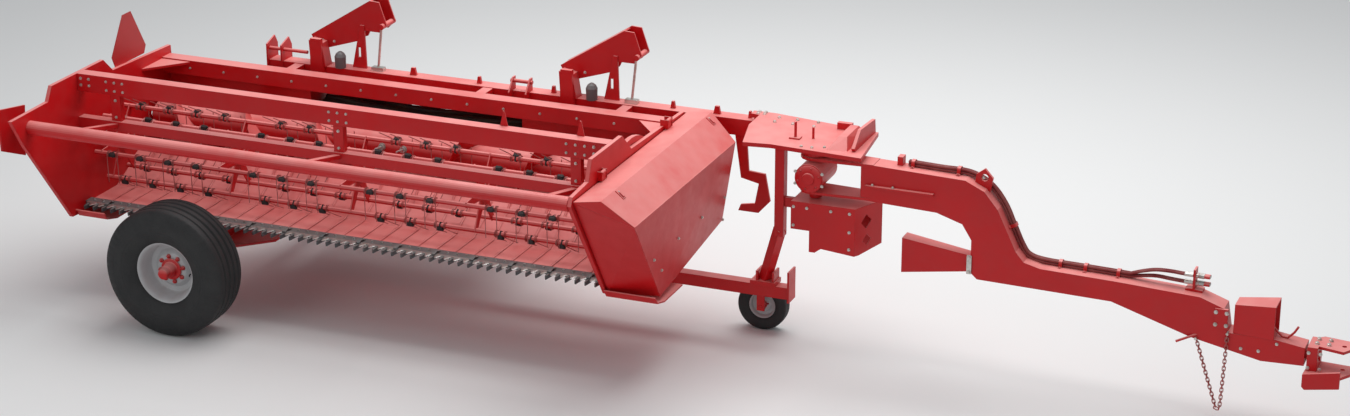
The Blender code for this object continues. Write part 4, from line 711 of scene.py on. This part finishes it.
FRONT, BACK, LEFT, RIGHT, UP = -Y, Y, -X, X, Z
header_bolts = [nuts(grid([x - 0.07, x, x + 0.07], [0.0], [1.622, 1.688])[[0, 1, 2, 3, 4, 5]], FRONT, 0.016)
                for x in (0.32, 2.19, 4.06)]
header_bolts += [nuts(grid([x], [0.002], [1.42, 1.55]), FRONT, 0.018) for x in (0.32, 2.19, 4.06)]
header_bolts += [nuts(grid([0.03, 0.10, 4.20, 4.27], [0.0], [1.64, 1.69]), FRONT, 0.018)]
header_bolts += [nuts(grid(np.arange(0.25, 4.2, 0.30), [1.17], [1.452]), FRONT, 0.016)]
header_bolts += [nuts(grid([-0.03], y, z), LEFT, 0.020) for y, z in (
    ([-0.62], [1.45, 1.55]), ([0.02, 0.08], [1.62, 1.69]), ([0.33, 0.39], [1.06, 1.12]), ([0.95, 1.05], [1.06, 1.16]),
    ([-0.05, 0.15], [0.78]), ([1.19, 1.27], [1.41, 1.49]))]
header_bolts += [nuts(grid([1.35, 1.70, 2.05, 2.40, 2.75, 2.95], [1.45, 1.80], [1.375]), UP, 0.018)]
piece("header_bolts", join(*header_bolts), "zinc", "header")

# %% Bolts on the trail frame, the swivel and the guard under it
frame_bolts = [nuts(grid([5.06, 5.20, 5.36], [1.30, 1.40], [1.575]), UP, 0.022),
               nuts(grid([4.88, 4.93], [1.44, 1.475], [1.575]), UP, 0.022),
               nuts(grid([5.42, 5.50, 5.58], [0.86, 0.90], [1.575])[[0, 2, 5]], UP, 0.020),
               nuts(grid([5.38, 5.48, 5.66, 5.80], [0.83], [1.13]), FRONT, 0.018),
               nuts([(5.80, 0.83, 0.86), (5.38, 0.83, 0.99), (5.80, 0.83, 0.99)], FRONT, 0.018),
               nuts(grid([5.40, 5.60], [0.795], [1.32, 1.41])[[0, 1, 2, 3]] + [0, 0.005, 0], FRONT, 0.018)]
for x in (0.805, 0.93):
    frame_bolts.append(nuts(grid([x - 0.006], [1.46, 1.52], [1.56]), LEFT, 0.018))
for x in (1.15, 3.27):
    frame_bolts.append(nuts(grid([x + 0.10, x + 0.20], [1.51], [1.70]), FRONT, 0.018))
    frame_bolts.append(nuts([[x + 0.63, 1.508, 1.87]], FRONT, 0.030))
    frame_bolts.append(nuts([[x + 0.63, 1.667, 1.87]], BACK, 0.030))
piece("frame_bolts", join(*frame_bolts), "zinc", "header")

# %% Bolts on the tongue and the hitch
drum = np.arange(6) * TAU / 6 + 0.26
tongue_bolts = [nuts(grid([8.418, 8.492], [0.866], [0.685, 0.775]), FRONT, 0.022),
                nuts(grid([8.40, 8.455], [1.04], [0.66, 0.74]), BACK, 0.022),
                nuts(grid([5.95, 6.10], [0.85], [1.352])[[0, 1]] + [0, 0.02, 0], UP, 0.018),
                nuts(grid([8.60, 8.72, 8.84], [0.88], [0.53, 0.60])[[0, 2, 5]], FRONT, 0.018),
                nuts(grid([6.735], [0.95], [1.49])[:1] + [0, -0.002, 0.0], FRONT, 0.016)]
piece("tongue_bolts", join(*tongue_bolts), "zinc", "tongue")
piece("hitch_bolts", join(nuts(grid([9.10, 9.18], [0.94, 1.02], [0.62]), UP, 0.026),
                          nuts(grid([9.06, 9.14], [0.86], [0.47, 0.58]), FRONT, 0.020),
                          rod((9.125, 0.96, 0.400), (9.125, 0.96, 0.425), 0.014)), "zinc", "hitch")

# %% [markdown]
# ## Hose clips and fittings
# The four hoses to the tractor lie along the top of the tongue and end in quick couplers in a holder. Steel ferrules
# are crimped on the hose ends, a knurled sleeve slides on each coupler, and sheet clips hold the bundle down.

# %% Hoses, clips and ferrules
def reach(offset):
    """X of a place on the tongue, from its distance to the swivel pin."""
    return 5.50 + np.asarray(offset, float)


TOP = np.array([(.30, 1.500), (.64, 1.491), (.90, 1.482), (1.12, 1.475), (1.26, 1.410), (1.36, 1.290), (1.43, 1.145),
                (1.50, 1.000), (1.56, .930), (1.68, .900), (1.94, .893), (2.24, .885), (2.40, .878)])
crest = curve(np.column_stack([reach(TOP[:, 0]), TOP[:, 1]]), 8)
crest_ahead = np.gradient(crest, axis=0)
crest_ahead /= np.linalg.norm(crest_ahead, axis=1, keepdims=True)
crest_up = np.column_stack([-crest_ahead[:, 1], crest_ahead[:, 0]])
on_top = (crest[:, 0] >= reach(0.6405)) & (crest[:, 0] <= reach(2.30))
hoses, ferrules, sleeves = [], [], []
for layer, (mid_z, end_z) in enumerate(((0.925, 0.915), (0.970, 0.970))):
    lying = (crest + crest_up * (0.0135 + 0.0205 * layer))[on_top]
    rising = curve(np.array([lying[-1], (reach(2.38), 0.40 * lying[-1][1] + 0.60 * mid_z), (reach(2.47), mid_z),
                             (reach(2.57), end_z + 0.004), (reach(2.65), end_z), (reach(2.7295), end_z)]), 8)[1:]
    route = np.vstack([lying, rising])
    for y in (0.986, 1.008):
        hoses.append(sweep(np.column_stack([route[:, 0], np.full(len(route), y), route[:, 1]]), circle(12, 0.0098), Y))
        for start, length, thick in ((2.665, 0.060, 0.0125), (2.742, 0.020, 0.0150)):
            ferrules.append(rod((reach(start), y, end_z), (reach(start) + length, y, end_z), thick, 16))
        ridged = [(0.0150 + 0.0008 * (k % 2), 0.765 + 0.004 * k + 2.0) for k in range(10)]
        sleeves.append(turned([(0, 2.762), *ridged, (0, 2.804)], (5.50, y, end_z), X, 16))
        sleeves.append(turned([(0, 2.80), (.012, 2.80), (.012, 2.838), (.009, 2.844), (0, 2.844)],
                              (5.50, y, end_z), X, 16))
piece("tractor_hoses", join(*hoses), "hose", "tongue", ["hose_bundle"])
piece("hose_ferrules", join(*ferrules), "zinc", "tongue")
piece("coupler_sleeves", join(*sleeves), "worn", "tongue")
arch = curve([(0, -.054, .002), (0, -.030, .002), (0, -.0275, .030), (0, -.020, .0465), (0, .020, .0465),
              (0, .0275, .030), (0, .030, .002), (0, .041, .002)], 4)
strap = sweep(arch, np.array([(-0.013, -0.0015), (0.013, -0.0015), (0.013, 0.0015), (-0.013, 0.0015)]), X)
places = [int(np.abs(crest[:, 0] - reach(offset)).argmin()) for offset in (0.70, 1.05, 1.43, 1.80, 1.98, 2.20)]
turns = np.stack([np.insert(crest_ahead[places], 1, 0, 1), np.broadcast_to(Y, (len(places), 3)),
                  np.insert(crest_up[places], 1, 0, 1)], -1)
spots = np.insert(crest[places], 1, 0.997, 1)
feet = join(strap, copies(nut(0.012), np.eye(3), [[0, -.044, .003]]))
piece("hose_clips", copies(feet, turns, spots), "red", "tongue")

# %% [markdown]
# ## Floor ribs and stops
# The floor in front of the auger is made of narrow pressed sheets, and their joints show as ribs running up the
# slope. Two pointed stops stand behind the top beam and keep the crop from wrapping.

# %% Floor ribs and stops
slope = np.array([(.075, .7035), (.42, .7035), (.62, .8035), (.70, .8635), (.745, .905)])
rib_path = np.column_stack([0 * slope[:, 0], slope])
rib = sweep(rib_path, np.array([(-0.009, -0.002), (0.009, -0.002), (0.005, 0.0022), (-0.005, 0.0022)]), X)
ribs = np.arange(0.16, 4.2, 0.152)
piece("floor_ribs", copies(rib, np.eye(3), np.stack([ribs, 0 * ribs, 0 * ribs], -1)), "red", "header")
stops = [plate([(x - 0.030, 1.724), (x + 0.030, 1.724), (x + 0.006, 1.835), (x - 0.004, 1.835)], 0.088, 0.098, 1, 0.002)
         for x in (3.47, 4.06)]
piece("crop_stops", join(*stops), "red", "header")

# %% [markdown]
# ## Drive shield
# The shield over the belts is pressed from one sheet. Its free edges are folded over, two spring latches hold its
# top face, and a round bead runs along the crease where its top face turns down.

# %% Shield edges and latches
edge_front = np.array([(4.546, -.687, 1.570), (4.763, -.619, 1.389), (4.694, -.002, .655)])
fold = sweep(np.vstack([np.linspace(edge_front[0], edge_front[1], 6),
                        np.linspace(edge_front[1], edge_front[2], 10)[1:]]),
             circle(8, 0.0045), Z + 0.3 * X)
ridge = sweep(np.linspace((4.7635, -.615, 1.3895), (4.7635, 1.275, 1.3895), 12), circle(8, 0.0040), Z)
piece("shield_folds", join(fold, ridge), "red", "drive_shield")
normal = np.cross([0.22, 0, -0.18], [0, 1.0, 0])
normal = -normal / np.linalg.norm(normal) * np.sign(-normal[2])
latches, dark = [], []
for spot in ((4.583, -.432, 1.5400), (4.583, 1.250, 1.5400)):
    turn = facing([normal])
    latches.append(copies(join(block((-.022, .022), (-.040, .040), (-.004, .005), .002),
                               block((-.010, .010), (-.030, .012), (.003, .013), .003)), turn, [spot]))
    dark.append(copies(rod((0, .022, .003), (0, .022, .011), 0.006), turn, [spot]))
piece("shield_latches", join(*latches), "red", "drive_shield")
piece("latch_screws", join(*dark), "zinc", "drive_shield")
piece("shield_screws", join(nuts([(4.730, y, 1.0) for y in (-.20, .25, .70, 1.15)], RIGHT, 0.018),
                            nuts([(4.716, -.03, .86), (4.712, 1.16, .82)], RIGHT, 0.018)), "zinc", "drive_shield")

# %% [markdown]
# ## Small parts of the swivel and the tongue
# Two upright bars stand on the swivel plate. The gearbox under it is a cast drum with a bolted cover on each end.
# A ring with ears clamps the rear driveline shield.

# %% Swivel and tongue fittings
bars = [rod((5.32, 1.02, 1.572), (5.32, 1.02, 1.700), 0.010), rod((5.44, 1.06, 1.572), (5.44, 1.06, 1.660), 0.009),
        block((5.28, 5.36), (0.99, 1.05), (1.574, 1.586))]
piece("lever_stubs", join(*bars), "red", "header")
for side, y in ((-1.0, 0.80), (1.0, 1.12)):
    where = "front" if side < 0 else "rear"
    cover = turned([(0, -.004), (.098, -.004), (.098, .006), (.092, .010), (.046, .010), (.042, .022), (.026, .024),
                    (0, .024)], np.array([5.50, y, 1.365]), side * Y, 48)
    ring = np.stack([5.50 + 0.080 * np.cos(drum), np.full(6, y + side * 0.009), 1.365 + 0.080 * np.sin(drum)], -1)
    piece(f"gearbox_cover_{where}", join(cover, nuts(ring, side * Y, 0.014)), "red", "header")
band = join(block((6.655, 6.690), (0.868, 0.878), (0.79, 0.93)), block((6.655, 6.690), (1.042, 1.052), (0.79, 0.93)),
            nuts(grid([6.672], [0.868], [0.805, 0.915]), FRONT, 0.020),
            nuts(grid([6.672], [1.052], [0.805, 0.915]), BACK, 0.020))
piece("rear_shield_band", band, "zinc", "tongue")

# %% [markdown]
# ## Floor, light and camera
# The machine stands on a plain pale floor. A large soft lamp overhead and a pale sky light what faces up, a weaker
# one from the front left opens the shadows under the reel, and the camera stands in front and to the right, a little
# above the height of the machine.

# %% Stage
scene = bpy.context.scene
floor_mesh = bpy.data.meshes.new("floor")
floor_mesh.from_pydata([(-60, -60, 0), (60, -60, 0), (60, 60, 0), (-60, 60, 0)], [], [(0, 1, 2, 3)])
floor = bpy.data.objects.new("floor", floor_mesh)
scene.collection.objects.link(floor)
pale = bpy.data.materials.new("pale_floor")
pale.use_nodes = True
shader = next(node for node in pale.node_tree.nodes if node.type == "BSDF_PRINCIPLED")
shader.inputs["Base Color"].default_value = (0.82, 0.82, 0.81, 1)
shader.inputs["Roughness"].default_value = 0.8
floor_mesh.materials.append(pale)

sky_world = bpy.data.worlds.new("sky")
sky_world.use_nodes = True
background = next(node for node in sky_world.node_tree.nodes if node.type == "BACKGROUND")
background.inputs["Color"].default_value = (0.93, 0.96, 1.0, 1)
background.inputs["Strength"].default_value = 0.42
scene.world = sky_world
scene.view_settings.view_transform = "Standard"


def lamp(name, place, aim, size, power):
    """A square area lamp at a place, turned so that its -Z points at the aim."""
    light = bpy.data.lights.new(name, "AREA")
    light.size, light.energy = size, power
    made = bpy.data.objects.new(name, light)
    made.location = place
    made.rotation_euler = Vector(aim - np.asarray(place, float)).to_track_quat("-Z", "Y").to_euler()
    scene.collection.objects.link(made)


lamp("overhead", (0.0, 2.5, 9.0), np.array([0.0, 0.5, 0.0]), 9.0, 800)
lamp("front_left", (-7.0, -13.0, 7.0), np.array([0.0, 0.0, 0.8]), 7.0, 200)

camera = bpy.data.objects.new("camera", bpy.data.cameras.new("camera"))
camera.data.lens, camera.data.sensor_width, camera.data.sensor_fit = 75.683, 36.0, "HORIZONTAL"
camera.location = (7.101, -17.967, 8.152)
camera.rotation_euler = np.radians([69.605, 0.0, 22.0])
scene.collection.objects.link(camera)
scene.camera = camera
print("camera and lamps are in place")
